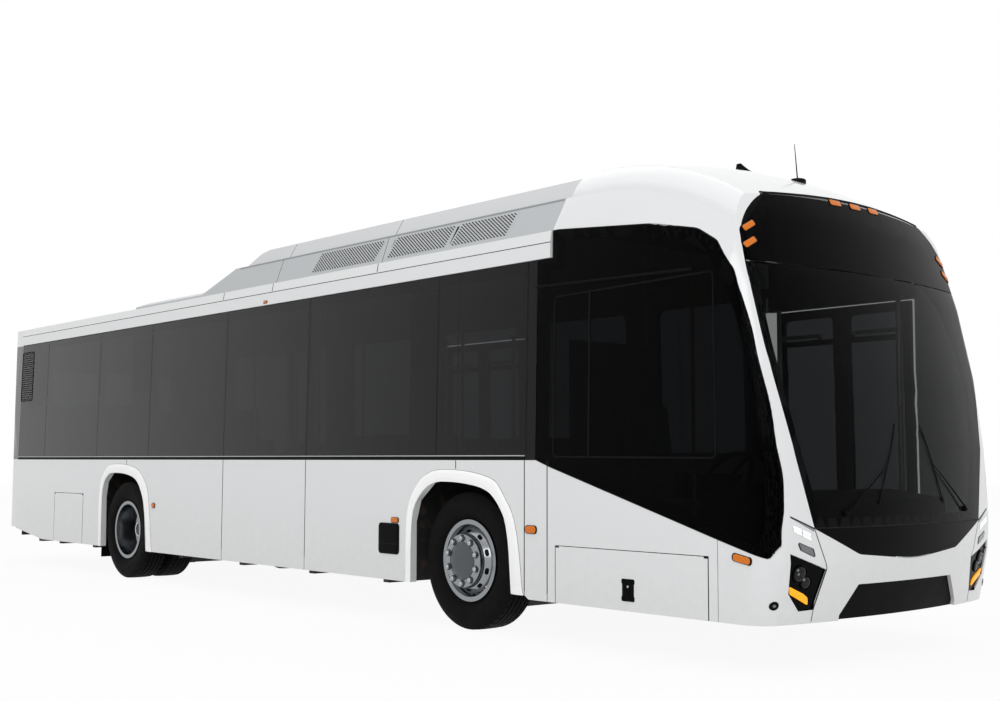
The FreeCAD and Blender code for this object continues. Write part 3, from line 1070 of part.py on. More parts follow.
# ================================================================ output
def main():
    """Build every sub-part and write it to its own file."""
    os.makedirs("parts", exist_ok=True)
    pieces = {
        "chassis_rails": frame_rails(), "cross_members": cross_members(), "floor_deck": floor_deck(),
        "wheel_boxes": wheel_boxes(), "wall_right": side_wall(-1), "wall_left": side_wall(1),
        "arch_flares": arch_flares(), "charge_cover": charge_cover(), "roof_panel": roof_panel(),
        "roof_fairing": roof_fairing(), "roof_batteries": roof_batteries(),
        "front_axle_beam": front_axle(), "rear_axle_housing": rear_axle(),
        "drive_motor": drive_motor(), "mud_flaps": mud_flaps(), "passenger_seats": passenger_seats(),
        "driver_seat": driver_seat(), "dashboard": dashboard(), "steering_wheel": steering_wheel(),
        "handrails": handrails(), "driver_partition": driver_partition(), "marker_lamps": marker_lamps(),
        "roof_aerials": roof_aerials(),
    }
    for name, low, high, foot_z, head_z in HATCHES:
        pieces["side_lid_" + name] = hatch_lid(low, high, foot_z, head_z)
    for side, side_y in (("left", 1), ("right", -1)):
        pieces["knuckle_" + side] = knuckle(side_y)
        pieces["tyre_front_" + side], pieces["rim_front_" + side] = front_wheel(side_y)
        pieces["tyres_rear_" + side], pieces["rims_rear_" + side] = rear_wheel(side_y)
    pieces.update(front_pieces())
    pieces.update(rear_pieces())
    pieces.update(doors())
    for name, shape in pieces.items():
        save(name, shape)


main()
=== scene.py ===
"""City bus: looks, small trim, wheels, seats and stage for Blender, around its CAD frame."""
import json
import math
from collections import namedtuple
import bmesh
import bpy
import numpy as np
from bpy.props import FloatProperty, FloatVectorProperty, IntProperty, PointerProperty
from mathutils import Matrix, Vector
from mathutils.bvhtree import BVHTree


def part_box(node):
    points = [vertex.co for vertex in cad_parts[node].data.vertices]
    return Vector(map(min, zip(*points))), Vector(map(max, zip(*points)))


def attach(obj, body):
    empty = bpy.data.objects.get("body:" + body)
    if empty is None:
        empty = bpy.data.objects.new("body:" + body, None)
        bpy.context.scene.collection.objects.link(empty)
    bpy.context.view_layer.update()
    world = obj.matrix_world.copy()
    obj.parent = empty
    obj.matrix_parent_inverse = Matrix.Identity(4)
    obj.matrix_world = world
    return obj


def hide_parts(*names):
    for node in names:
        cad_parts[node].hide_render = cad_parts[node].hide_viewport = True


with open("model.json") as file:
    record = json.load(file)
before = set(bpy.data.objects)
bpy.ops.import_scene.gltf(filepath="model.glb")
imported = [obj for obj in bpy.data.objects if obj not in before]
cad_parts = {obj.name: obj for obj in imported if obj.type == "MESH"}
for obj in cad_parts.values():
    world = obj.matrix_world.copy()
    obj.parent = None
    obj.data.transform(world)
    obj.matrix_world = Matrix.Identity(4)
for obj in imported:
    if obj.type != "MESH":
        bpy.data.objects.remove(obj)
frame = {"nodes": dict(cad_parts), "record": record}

bl_info = {
    "name": "City bus",
    "version": (1, 0, 0),
    "blender": (4, 5, 0),
    "location": "3D View > Sidebar > Bus",
    "description": "Builds the visible surfaces of an electric city bus around its CAD frame",
    "category": "Add Mesh",
}

TAU = 2 * math.pi
WELD = 1e-5                 # vertices nearer than this are one
CAD_SMOOTH = 28             # degrees: sharper edges of the CAD skins stay crisp
NODES = frame["nodes"]
BODY = {node: body for body, nodes in frame["record"]["behaviour"]["bodies"].items() for node in nodes}
for spare in ("Cube", "Light", "Camera"):        # what a new Blender file starts with
    if spare in bpy.data.objects:
        bpy.data.objects.remove(bpy.data.objects[spare], do_unlink=True)
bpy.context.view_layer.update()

# sizes that the CAD gives, in metres
HALF_WIDTH = float(-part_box("side_glass_right")[0][1])
NOSE_X = float(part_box("front_mask_panel")[1][0])
BELT_Z = 1.260              # foot of the side glass
CANT_Z = 2.681              # head of the side glass
LEAN = 0.0173               # inward lean of the glass for each unit of height
RIDGE_Z, CHIN_Z, CHIN_RAKE = 0.850, 0.654, 0.207
NOSE_BOW = 5.850            # radius of the nose, seen from the side
NOSE_PLAN, NOSE_CORNER = 5.500, 0.180          # its two radii, seen from above
CORNER_Y = HALF_WIDTH - NOSE_CORNER            # middle of the corner's arc, seen from above
CORNER_REACH = math.sqrt((NOSE_PLAN - NOSE_CORNER) ** 2 - CORNER_Y ** 2)
TYRE_R = float(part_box("tyre_front_right")[1][2]) / 2
FRONT_AXLE = float(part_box("tyre_front_right")[0][0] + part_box("tyre_front_right")[1][0]) / 2
REAR_AXLE = float(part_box("tyres_rear_right")[0][0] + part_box("tyres_rear_right")[1][0]) / 2
FRONT_OUT = float(-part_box("tyre_front_right")[0][1])       # outer sidewall, steered tyres
REAR_OUT = float(-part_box("tyres_rear_right")[0][1])        # outer sidewall, driven tyres
TYRE_WIDTH = FRONT_OUT - float(-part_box("tyre_front_right")[1][1])
TWIN_IN = float(-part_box("tyres_rear_right")[1][1])         # inner sidewall of the inner twin
TWIN_PLANE = (REAR_OUT + TWIN_IN) / 2                      # where the twins' rims are bolted together


def linear(code):
    """Linear colour of an sRGB hex value."""
    parts = [int(code[i:i + 2], 16) / 255 for i in (1, 3, 5)]
    return tuple(c / 12.92 if c <= 0.04045 else ((c + 0.055) / 1.055) ** 2.4 for c in parts)


def colour_setting(name, code, what):
    """Colour property with its sRGB default."""
    return FloatVectorProperty(name=name, description=what, subtype="COLOR", size=3, min=0, max=1,
                               default=linear(code))


def length_setting(name, metres, what):
    """Length property in metres."""
    return FloatProperty(name=name, description=what, default=metres, min=0, unit="LENGTH")


class BusColours(bpy.types.PropertyGroup):
    """Colours of the bus and its stage."""
    paint: colour_setting("Body paint", "#DEDFE0", "White gloss paint of panels, dome and bumper")
    fairing: colour_setting("Fairing", "#C3C5C7", "Satin grey of the roof fairing")
    glass: colour_setting("Glass tint", "#4A4C4E", "Tint of the body glass, taken at each face of a pane")
    amber: colour_setting("Amber lens", "#DC7404", "Indicators and side markers")
    red: colour_setting("Red lens", "#A8121A", "Tail and brake lamps")
    rubber: colour_setting("Tyre rubber", "#0E0E0F", "Tyres and seals")
    seat: colour_setting("Seat cloth", "#34465E", "Woven cloth of the seat pads")
    rail: colour_setting("Handrails", "#E2B31C", "Powder coat of the poles")
    floor: colour_setting("Studio floor", "#F2F2F2", "Floor of the stage")


class BusSizes(bpy.types.PropertyGroup):
    """Sizes that a user would change."""
    tread_depth: length_setting("Tread depth", 0.011, "Depth of the grooves round each tyre")
    wiper_length: length_setting("Wiper blade", 0.90, "Length of each windscreen wiper blade")
    louvre_rows: IntProperty(name="Louvre rows", description="Rows of slots in a louvre field of the fairing",
                             default=9, min=1, max=20)
    vent_slats: IntProperty(name="Vent slats", description="Slats of the vent behind the last window",
                            default=22, min=2, max=60)
    nut_circle: length_setting("Wheel nut circle", 0.335, "Diameter of the circle of wheel nuts, front")


def colours():
    """The scene's colour settings."""
    return bpy.context.scene.bus_colours


def sizes():
    """The scene's size settings."""
    return bpy.context.scene.bus_sizes


FINISHES = {}               # materials by short name


# ---------------------------------------------------------------- shapes
def grid(points, around=False, ring=False):
    """Vertices and quads of a grid of points (rows, columns, 3); around joins its last column to the
    first, ring its last row to the first."""
    rows, cols = points.shape[:2]
    index = np.arange(rows * cols).reshape(rows, cols)
    if around:
        index = np.concatenate([index, index[:, :1]], axis=1)
    if ring:
        index = np.concatenate([index, index[:1]], axis=0)
    quads = np.stack([index[:-1, :-1], index[:-1, 1:], index[1:, 1:], index[1:, :-1]], axis=-1)
    return points.reshape(-1, 3), quads.reshape(-1, 4)


def copies(shell, offsets):
    """The shell repeated at each offset."""
    points, quads = shell
    offsets = np.asarray(offsets, float)
    moved = points[None] + offsets[:, None]
    step = np.arange(len(offsets))[:, None, None] * len(points)
    return moved.reshape(-1, 3), (quads[None] + step).reshape(-1, 4)


def flipped(shell):
    """The shell mirrored to the other side of the bus."""
    points, quads = shell
    return points * (1, -1, 1), quads[:, ::-1]


def turned(shell, axis, angle):
    """The shell turned about an axis through the origin."""
    points, quads = shell
    turn = np.array(Matrix.Rotation(angle, 3, Vector(axis)))
    return points @ turn.T, quads


def unit(rows):
    """Vectors brought to length one."""
    return rows / np.linalg.norm(rows, axis=-1, keepdims=True)


def capped(loops):
    """Closed shell through loops of points, with each end drawn together in its middle."""
    ends = loops.mean(axis=1, keepdims=True) + np.zeros_like(loops)
    return grid(np.concatenate([ends[:1], loops, ends[-1:]]), around=True)


def put(name, parts, body="body", smooth=35):
    """One object from (shell, short name of its finish) pairs, welded, with outward faces, riding on the
    body."""
    points, faces, index, start = [], [], [], 0
    materials = []
    for (vertices, quads), key in parts:
        if key not in materials:
            materials.append(key)
        points.append(vertices)
        faces.append(quads + start)
        index.append(np.full(len(quads), materials.index(key)))
        start += len(vertices)
    mesh = bpy.data.meshes.new(name)
    mesh.from_pydata(np.concatenate(points), [], np.concatenate(faces))
    for key in materials:
        mesh.materials.append(FINISHES[key])
    mesh.polygons.foreach_set("material_index", np.concatenate(index).astype(np.int32))
    work = bmesh.new()
    work.from_mesh(mesh)
    bmesh.ops.remove_doubles(work, verts=work.verts, dist=WELD)
    bmesh.ops.recalc_face_normals(work, faces=work.faces)
    work.to_mesh(mesh)
    work.free()
    return own(name, mesh, body, smooth)


def own(name, mesh, body, smooth):
    """Object of a finished mesh, smooth but for edges sharper than the angle, riding on the body."""
    mesh.shade_smooth()
    mesh.set_sharp_from_angle(angle=math.radians(smooth))
    made = bpy.data.objects.new(name, mesh)
    bpy.context.scene.collection.objects.link(made)
    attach(made, body)
    return made


def dress(node, finishes, pick=None, crease=None):
    """Welded, smooth-shaded copy of a CAD node, which then stands for it.  pick takes the middles and
    normals of the faces and gives the number of each one's finish; crease takes vertices and says which
    lie on a fold that stays crisp."""
    mesh = NODES[node].data
    mesh.calc_loop_triangles()
    points = np.empty(len(mesh.vertices) * 3)
    mesh.vertices.foreach_get("co", points)
    points = points.reshape(-1, 3)
    corners = np.empty(len(mesh.loop_triangles) * 3, np.int32)
    mesh.loop_triangles.foreach_get("vertices", corners)
    welded, place = np.unique(np.round(points, 5), axis=0, return_inverse=True)
    corners = place.reshape(-1)[corners].reshape(-1, 3)
    corners = corners[(corners != np.roll(corners, 1, axis=1)).all(axis=1)]
    copy = bpy.data.meshes.new(node + "_skin")
    copy.from_pydata(welded, [], corners)
    for key in finishes:
        copy.materials.append(FINISHES[key])
    if pick:
        a, b, c = (welded[corners[:, i]] for i in range(3))
        normal = np.cross(b - a, c - a)
        normal /= np.maximum(np.linalg.norm(normal, axis=1, keepdims=True), 1e-12)
        copy.polygons.foreach_set("material_index", pick((a + b + c) / 3, normal).astype(np.int32))
    made = own(node + "_skin", copy, BODY[node], CAD_SMOOTH)
    if crease:
        ends = np.empty(len(copy.edges) * 2, np.int32)
        copy.edges.foreach_get("vertices", ends)
        sharp = np.empty(len(copy.edges), bool)
        copy.edges.foreach_get("use_edge_sharp", sharp)
        folded = crease(welded)[ends.reshape(-1, 2)].all(axis=1)
        copy.edges.foreach_set("use_edge_sharp", sharp | folded)
    keep = made.modifiers.new("even shading", "WEIGHTED_NORMAL")
    keep.keep_sharp = True
    keep.weight = 60
    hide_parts(node)
    return made


def distance_to(*names):
    """Finder of the distance from each of many points to the nearest face of some CAD nodes."""
    trees = [BVHTree.FromPolygons([v.co for v in NODES[name].data.vertices],
                                  [p.vertices for p in NODES[name].data.polygons]) for name in names]
    return lambda points: np.array([min(tree.find_nearest(Vector(point))[3] for tree in trees)
                                    for point in points])


def rounded(corners, radius, steps=6):
    """Outline through the corners, each rounded by an arc of the radius: the arc's points turn evenly
    between the two edges that meet there."""
    corners = np.asarray(corners, float)
    before = unit(np.roll(corners, 1, axis=0) - corners)
    after = unit(np.roll(corners, -1, axis=0) - corners)
    half = np.arccos(np.clip((before * after).sum(axis=1), -1, 1)) / 2
    centre = corners + unit(before + after) * (radius / np.sin(half))[:, None]
    start = corners + before * (radius / np.tan(half))[:, None] - centre
    end = corners + after * (radius / np.tan(half))[:, None] - centre
    blend = np.linspace(0, 1, steps)[None, :, None]
    arc = start[:, None] * (1 - blend) + end[:, None] * blend
    arc *= radius / np.linalg.norm(arc, axis=2, keepdims=True)
    return (centre[:, None] + arc).reshape(-1, 2)


def circle(centre, radius, steps=32):
    """Outline of a circle, by its angle."""
    angle = np.linspace(0, TAU, steps, endpoint=False)
    return np.stack([centre[0] + radius * np.cos(angle), centre[1] + radius * np.sin(angle)], axis=1)


def raised(outline, levels, place):
    """Closed shell on a surface: copies of the outline drawn in towards its middle, one for each
    (share of its size, height), from the crown to the back, set on the surface by place(a, b, height)."""
    levels = np.asarray(levels, float)
    middle = outline.mean(axis=0)
    share = levels[:, :1]
    height = levels[:, 1:] + np.zeros((1, len(outline)))
    a = middle[0] + share * (outline[None, :, 0] - middle[0])
    b = middle[1] + share * (outline[None, :, 1] - middle[1])
    return grid(place(a, b, height), around=True)


def lens(rise, edge=0.12, back=0.004):
    """Levels of a plate with a rounded edge: crown, flat, edge arc, side and back."""
    arc = [(1 - edge + edge * math.sin(t), rise * (0.45 + 0.55 * math.cos(t)))
           for t in np.linspace(0, math.pi / 2, 5)]
    return [(0, rise), (0.5, rise)] + arc + [(1, -back), (0, -back)]


def ribbon(path, width, rise, place, closed=False, back=0.003):
    """Closed strip along a path on a surface: a low rounded profile carried across the path's normal."""
    path = np.asarray(path, float)
    ahead = unit(np.roll(path, -1, axis=0) - np.roll(path, 1, axis=0) if closed
                 else np.gradient(path, axis=0))
    across = np.stack([-ahead[:, 1], ahead[:, 0]], axis=1)
    profile = np.array([(-0.5, -back), (-0.5, rise * 0.6), (-0.32, rise), (0.32, rise), (0.5, rise * 0.6),
                        (0.5, -back)])
    a = path[:, None, 0] + across[:, None, 0] * profile[None, :, 0] * width
    b = path[:, None, 1] + across[:, None, 1] * profile[None, :, 0] * width
    height = np.zeros_like(a) + profile[None, :, 1]
    loops = place(a, b, height)
    return grid(loops, around=True, ring=True) if closed else capped(loops)


def band(first, second, rise, place, back=0.002, steps=24, levels=None):
    """Closed strip between two lines on a surface: points spread along each line, joined straight
    across by levels of (share of the way, height); without levels, a flat with low rounded edges."""
    first, second = run(first, steps), run(second, steps)
    if levels is None:
        levels = [(0, -back), (0, rise * 0.6), (0.03, rise), (0.2, rise), (0.4, rise), (0.6, rise),
                  (0.8, rise), (0.97, rise), (1, rise * 0.6), (1, -back)]
    levels = np.asarray(levels, float)
    share = levels[None, :, :1]
    spots = first[:, None] * (1 - share) + second[:, None] * share
    return capped(place(spots[..., 0], spots[..., 1], levels[:, 1] + np.zeros(spots.shape[:2])))


def run(path, steps):
    """Points spread evenly along a broken line."""
    path = np.asarray(path, float)
    along = np.concatenate([[0], np.cumsum(np.linalg.norm(np.diff(path, axis=0), axis=1))])
    at = np.linspace(0, along[-1], steps)
    return np.stack([np.interp(at, along, path[:, i]) for i in range(path.shape[1])], axis=1)


def tube(path, radius, sides=10, flat=1.0):
    """Round bar along a path in space: circles across the path, closed at both ends; flat squashes
    them along their second direction, and radius may be one for each point."""
    path = np.asarray(path, float)
    ahead = unit(np.gradient(path, axis=0))
    lead = np.array([0.0, 0.0, 1.0]) if abs(ahead[0, 2]) < 0.9 else np.array([0.0, 1.0, 0.0])
    first = unit(np.cross(ahead, lead))
    second = np.cross(ahead, first)
    angle = np.linspace(0, TAU, sides, endpoint=False)
    size = np.zeros(len(path)) + radius
    ring = (first[:, None] * np.cos(angle)[None, :, None]
            + second[:, None] * np.sin(angle)[None, :, None] * flat)
    points = path[:, None] + ring * size[:, None, None]
    ends = path[:, None] + np.zeros_like(points)
    return grid(np.concatenate([ends[:1], points, ends[-1:]]), around=True)


def spun(profile, centre, steps=64, ring=False, facets=None):
    """Shell turned about the wheel axis through the centre: profile is rows of (radius, distance
    inwards).  facets gives the radius a polygon's outline."""
    profile = np.asarray(profile, float)
    angle = np.linspace(0, TAU, steps, endpoint=False)
    radius = profile[:, None, 0] + np.zeros((1, steps))
    if facets:
        side = TAU / facets
        radius = radius * math.cos(side / 2) / np.cos((angle + side / 2) % side - side / 2)[None]
    points = np.stack([centre[0] + radius * np.cos(angle), centre[1] - profile[:, None, 1] + 0 * radius,
                       centre[2] + radius * np.sin(angle)], axis=-1)
    return grid(points, around=True, ring=ring)


def block(x, z, length, height):
    """Corners of an upright oblong about its middle."""
    a, b = length / 2, height / 2
    return [(x + a, z + b), (x - a, z + b), (x - a, z - b), (x + a, z - b)]


def tilted(outline, angle):
    """Outline turned about its middle."""
    middle = outline.mean(axis=0)
    turn = np.array([[math.cos(angle), -math.sin(angle)], [math.sin(angle), math.cos(angle)]])
    return (outline - middle) @ turn.T + middle


def name_of(side):
    """right for the side towards negative y, left for the other."""
    return "right" if side < 0 else "left"


# ---------------------------------------------------------------- surfaces of the body
def side_depth(z):
    """Half width of the side at a height: upright below the belt, leaning in above it."""
    return np.where(z < BELT_Z, HALF_WIDTH, HALF_WIDTH - LEAN * (z - BELT_Z))


def on_side(side):
    """Places (x, z, height above the skin) on one side of the bus."""
    return lambda a, b, h: np.stack([a, side * (side_depth(b) + h), b], axis=-1)


NOSE_LEVELS = np.array([0.100, CHIN_Z, RIDGE_Z, 1.350, 1.850, 2.350, 2.850, 3.445])


def nose_reach(z):
    """Foremost x at a height: straight between levels that lie on an arc above the ridge, and on a
    straight rake below it."""
    above = NOSE_X - NOSE_BOW + np.sqrt(NOSE_BOW ** 2 - (NOSE_LEVELS - RIDGE_Z) ** 2)
    below = NOSE_X - 0.010 - CHIN_RAKE * (CHIN_Z - NOSE_LEVELS)
    return np.interp(z, NOSE_LEVELS, np.where(NOSE_LEVELS >= RIDGE_Z, above, below))


def nose_plan(y):
    """Fall back from the foremost point at a distance from the middle, and the plan normal there: a
    wide arc, then the corner's arc."""
    side, far = np.sign(y), np.abs(y)
    join = CORNER_Y * NOSE_PLAN / (NOSE_PLAN - NOSE_CORNER)
    across = np.where(far <= join, far / NOSE_PLAN,
                      np.clip((far - HALF_WIDTH + NOSE_CORNER) / NOSE_CORNER, 0, 0.9999))
    ahead = np.sqrt(1 - across ** 2)
    back = np.where(far <= join, NOSE_PLAN * ahead - NOSE_PLAN,
                    CORNER_REACH - NOSE_PLAN + NOSE_CORNER * ahead)
    return back, ahead, side * across


def on_nose(a, b, h):
    """Places (y, z, height above the skin) on the front, along its normal."""
    back, ahead, across = nose_plan(a)
    slope = (nose_reach(b + 0.002) - nose_reach(b - 0.002)) / 0.004
    normal = unit(np.stack([ahead, across, -ahead * slope], axis=-1))
    return np.stack([nose_reach(b) + back, a, b], axis=-1) + normal * h[..., None]


def skin_gap(points):
    """Depth of points below the body's upright skin: from the side, from the wide arc of the nose or
    from the arc of its corner, whichever is the nearest."""
    x, y, z = points[:, 0], np.abs(points[:, 1]), points[:, 2]
    middle = nose_reach(z) - NOSE_PLAN
    wide = NOSE_PLAN - np.hypot(x - middle, y)
    corner = NOSE_CORNER - np.hypot(x - middle - CORNER_REACH, y - HALF_WIDTH + NOSE_CORNER)
    beyond = (y > CORNER_Y) & (x > middle + CORNER_REACH)
    beyond &= y * CORNER_REACH > (x - middle) * CORNER_Y
    return np.minimum(np.where(beyond, corner, wide), side_depth(z) - y)


LOWER_SLOPE = ((HALF_WIDTH - 0.032, 2.874), (HALF_WIDTH - 0.112, 3.108))      # foot and head: y, z
UPPER_SLOPE = ((HALF_WIDTH - 0.178, 3.130), (HALF_WIDTH - 0.254, 3.262))
FAIRING_TOP = ((HALF_WIDTH - 0.254, 3.262), (0.0, 3.330))
CORNICE_TOP = ((HALF_WIDTH - 0.0106, 2.799), (HALF_WIDTH - 0.024, 2.874))


def on_slope(side, slope=LOWER_SLOPE):
    """Places (x, distance up from the foot, height) on one of the flat slopes beside the roof."""
    foot, head = np.array(slope[0]), np.array(slope[1])
    up = (head - foot) / np.linalg.norm(head - foot)
    out = np.array([up[1], -up[0]])

    def place(a, b, h):
        spot = foot + b[..., None] * up + h[..., None] * out
        return np.stack([a, side * spot[..., 0], spot[..., 1]], axis=-1)
    return place


# ---------------------------------------------------------------- materials
Coat = namedtuple("Coat", "material tree shader base place")        # a material and its main sockets


def node(tree, kind, links=None, **settings):
    """Adds one node with its settings; links feed its inputs from sockets or give them a value."""
    made = tree.nodes.new(kind)
    for key, value in settings.items():
        setattr(made, key, value)
    for key, value in (links or {}).items():
        if isinstance(value, bpy.types.NodeSocket):
            tree.links.new(value, made.inputs[key])
        else:
            made.inputs[key].default_value = value
    return made


def rgba(colour, share=1.0):
    """Colour with alpha, made darker or lighter by the share."""
    return tuple(min(1.0, c * share) for c in colour) + (1.0,)


def finish(name, colour, rough, metallic=0.0, grain_mm=2.0, bump=0.0, tone=0.05, cloud_mm=300.0,
           rough_spread=0.05, **sockets):
    """Principled material in Object coordinates: clouds of slightly different tone and gloss, and a
    grain of the given size in millimetres that raises the surface by the bump, also in millimetres."""
    material = bpy.data.materials.new(name)
    material.use_nodes = True
    tree = material.node_tree
    tree.nodes.clear()
    out = node(tree, "ShaderNodeOutputMaterial")
    shader = node(tree, "ShaderNodeBsdfPrincipled", {"Metallic": metallic})
    tree.links.new(shader.outputs["BSDF"], out.inputs["Surface"])
    for key, value in sockets.items():
        shader.inputs[key.replace("_", " ")].default_value = value
    place = node(tree, "ShaderNodeTexCoord").outputs["Object"]
    cloud = node(tree, "ShaderNodeTexNoise", {"Vector": place, "Scale": 1000 / cloud_mm, "Detail": 3.0})
    tint = node(tree, "ShaderNodeMix", {"Factor": cloud.outputs["Fac"], "A": rgba(colour, 1 - tone),
                                        "B": rgba(colour, 1 + tone)}, data_type="RGBA")
    gloss = node(tree, "ShaderNodeMapRange", {"Value": cloud.outputs["Fac"], "From Min": 0.3, "From Max": 0.7,
                                              "To Min": max(rough - rough_spread, 0.0),
                                              "To Max": min(rough + rough_spread, 1.0)})
    tree.links.new(tint.outputs["Result"], shader.inputs["Base Color"])
    tree.links.new(gloss.outputs["Result"], shader.inputs["Roughness"])
    if bump:
        fine = node(tree, "ShaderNodeTexNoise", {"Vector": place, "Scale": 1000 / grain_mm, "Detail": 2.0})
        relief = node(tree, "ShaderNodeBump", {"Height": fine.outputs["Fac"], "Distance": bump / 1000,
                                               "Strength": 1.0})
        tree.links.new(relief.outputs["Normal"], shader.inputs["Normal"])
    return Coat(material, tree, shader, tint.outputs["Result"], place)


def plain(name, colour, rough, **settings):
    """Material with one finish and no second pattern."""
    return finish(name, colour, rough, **settings).material


def with_pattern(made, pattern, colour, share=1.0):
    """Material whose base takes a second colour where the pattern is high."""
    mixed = node(made.tree, "ShaderNodeMix", {"Factor": pattern, "A": made.base, "B": rgba(colour, share)},
                 data_type="RGBA")
    made.tree.links.new(mixed.outputs["Result"], made.shader.inputs["Base Color"])
    return made.material


def gloss_coat(name, colour):
    """Two-pack polyurethane gloss paint on sheet and moulded panels, an even coat with soft reflections
    and faint orange peel; also the socket that gives the height above the ground."""
    made = finish(name, colour, 0.20, grain_mm=9.0, bump=0.02, tone=0.012, cloud_mm=900, rough_spread=0.04,
                  IOR=1.5, Coat_Weight=0.6, Coat_Roughness=0.06)
    return made, node(made.tree, "ShaderNodeSeparateXYZ", {"Vector": made.place}).outputs["Z"]


def body_paint(name, colour):
    """Gloss paint with a film of road dust that fades out above the skirt."""
    made, height = gloss_coat(name, colour)
    fade = node(made.tree, "ShaderNodeMapRange", {"Value": height, "From Min": 0.30, "From Max": 1.0,
                                                  "To Min": 0.16, "To Max": 0.0})
    spots = node(made.tree, "ShaderNodeTexNoise", {"Vector": made.place, "Scale": 14.0, "Detail": 5.0})
    dust = node(made.tree, "ShaderNodeMath", {0: fade.outputs["Result"], 1: spots.outputs["Fac"]},
                operation="MULTIPLY")
    return with_pattern(made, dust.outputs["Value"], linear("#8F8A82"))


def banded_paint(name, colour, dark):
    """Gloss paint with the black band that carries the glass line round the rear end; the band's edges
    lie at the foot and the head of the side glass."""
    made, height = gloss_coat(name, colour)
    over = node(made.tree, "ShaderNodeMath", {0: height, 1: BELT_Z + 0.004}, operation="GREATER_THAN")
    under = node(made.tree, "ShaderNodeMath", {0: height, 1: CANT_Z - 0.004}, operation="LESS_THAN")
    between = node(made.tree, "ShaderNodeMath", {0: over.outputs["Value"], 1: under.outputs["Value"]},
                   operation="MULTIPLY")
    return with_pattern(made, between.outputs["Value"], dark)


def tinted_glass(name, colour, shine=0.16, index=1.5):
    """Tinted glass: so dark that the cabin only just shows, with a mirror shine that the tint film
    damps; its base colour tints the light at each face of a pane.  A coated pane has a low index,
    which keeps its shine low at a slant too."""
    return plain(name, colour, 0.0, tone=0.02, cloud_mm=1500, rough_spread=0.0, IOR=index,
                 Transmission_Weight=1.0, Specular_Tint=(shine, shine, shine * 1.05, 1.0))


def lens_plastic(name, colour, pitch_mm, glow=0.0):
    """Moulded polycarbonate lens: bright and clear on top, with the flutes of its inner face showing
    as fine upright lines; glow gives it a painted glow of its own colour."""
    made = finish(name, colour, 0.12, tone=0.10, cloud_mm=40, IOR=1.58, Coat_Weight=0.12,
                  Coat_Roughness=0.03, Specular_IOR_Level=0.2, Emission_Color=rgba(colour),
                  Emission_Strength=glow)
    flutes = node(made.tree, "ShaderNodeTexWave", {"Vector": made.place, "Scale": 1000 / pitch_mm / TAU,
                                                   "Distortion": 0.0},
                  wave_type="BANDS", bands_direction="DIAGONAL")
    relief = node(made.tree, "ShaderNodeBump", {"Height": flutes.outputs["Fac"], "Distance": 0.0006,
                                                "Strength": 0.8})
    made.tree.links.new(relief.outputs["Normal"], made.shader.inputs["Normal"])
    lines = node(made.tree, "ShaderNodeMapRange", {"Value": flutes.outputs["Fac"], "To Max": 0.35})
    return with_pattern(made, lines.outputs["Result"], colour, 0.45)


def polished_metal(name, colour, rough, axle_x):
    """Forged aluminium, turned and polished: mirror bright with hair-fine turning rings about the
    axle, drawn at 3 mm, coarser than the real cut, so that they show."""
    made = finish(name, colour, rough, metallic=1.0, tone=0.04, cloud_mm=90, rough_spread=0.05)
    centred = node(made.tree, "ShaderNodeMapping", {"Vector": made.place,
                                                    "Location": (-axle_x, 0.0, -TYRE_R)})
    flat = node(made.tree, "ShaderNodeVectorMath", {0: centred.outputs["Vector"], 1: (1.0, 0.0, 1.0)},
                operation="MULTIPLY")
    radius = node(made.tree, "ShaderNodeVectorMath", {0: flat.outputs["Vector"]}, operation="LENGTH")
    rings = node(made.tree, "ShaderNodeMath", {0: radius.outputs["Value"], 1: TAU / 0.003},
                 operation="MULTIPLY")
    wave = node(made.tree, "ShaderNodeMath", {0: rings.outputs["Value"]}, operation="SINE")
    relief = node(made.tree, "ShaderNodeBump", {"Height": wave.outputs["Value"], "Distance": 0.00003,
                                                "Strength": 0.6})
    made.tree.links.new(relief.outputs["Normal"], made.shader.inputs["Normal"])
    return made.material


def woven_cloth(name, colour, second):
    """Hard-wearing woven seat plush: two threads crossing at 4 mm, drawn coarser than the real 1 mm
    so that they show, matt with a soft sheen, and a sparse fleck of a second colour."""
    made = finish(name, colour, 0.85, tone=0.10, cloud_mm=25, Sheen_Weight=0.5, Sheen_Roughness=0.4)
    weave = [node(made.tree, "ShaderNodeTexWave", {"Vector": made.place, "Scale": 1000 / 4.0 / TAU,
                                                   "Distortion": 0.4},
                  wave_type="BANDS", bands_direction=way) for way in ("Y", "Z")]
    cross = node(made.tree, "ShaderNodeMath", {0: weave[0].outputs["Fac"], 1: weave[1].outputs["Fac"]},
                 operation="MULTIPLY")
    relief = node(made.tree, "ShaderNodeBump", {"Height": cross.outputs["Value"], "Distance": 0.0008,
                                                "Strength": 0.8})
    made.tree.links.new(relief.outputs["Normal"], made.shader.inputs["Normal"])
    fleck = node(made.tree, "ShaderNodeTexVoronoi", {"Vector": made.place, "Scale": 28.0})
    dots = node(made.tree, "ShaderNodeMapRange", {"Value": fleck.outputs["Distance"], "From Min": 0.20,
                                                  "From Max": 0.14})
    return with_pattern(made, dots.outputs["Result"], second)


def speckled_floor(name, colour, second):
    """Safety vinyl: mineral specks, sown at 9 mm, in a matt sheet."""
    made = finish(name, colour, 0.6, grain_mm=1.2, bump=0.1, tone=0.04, cloud_mm=200)
    specks = node(made.tree, "ShaderNodeTexVoronoi", {"Vector": made.place, "Scale": 1000 / 9.0})
    dots = node(made.tree, "ShaderNodeMapRange", {"Value": specks.outputs["Distance"], "From Min": 0.26,
                                                  "From Max": 0.2, "To Max": 0.8})
    return with_pattern(made, dots.outputs["Result"], second)


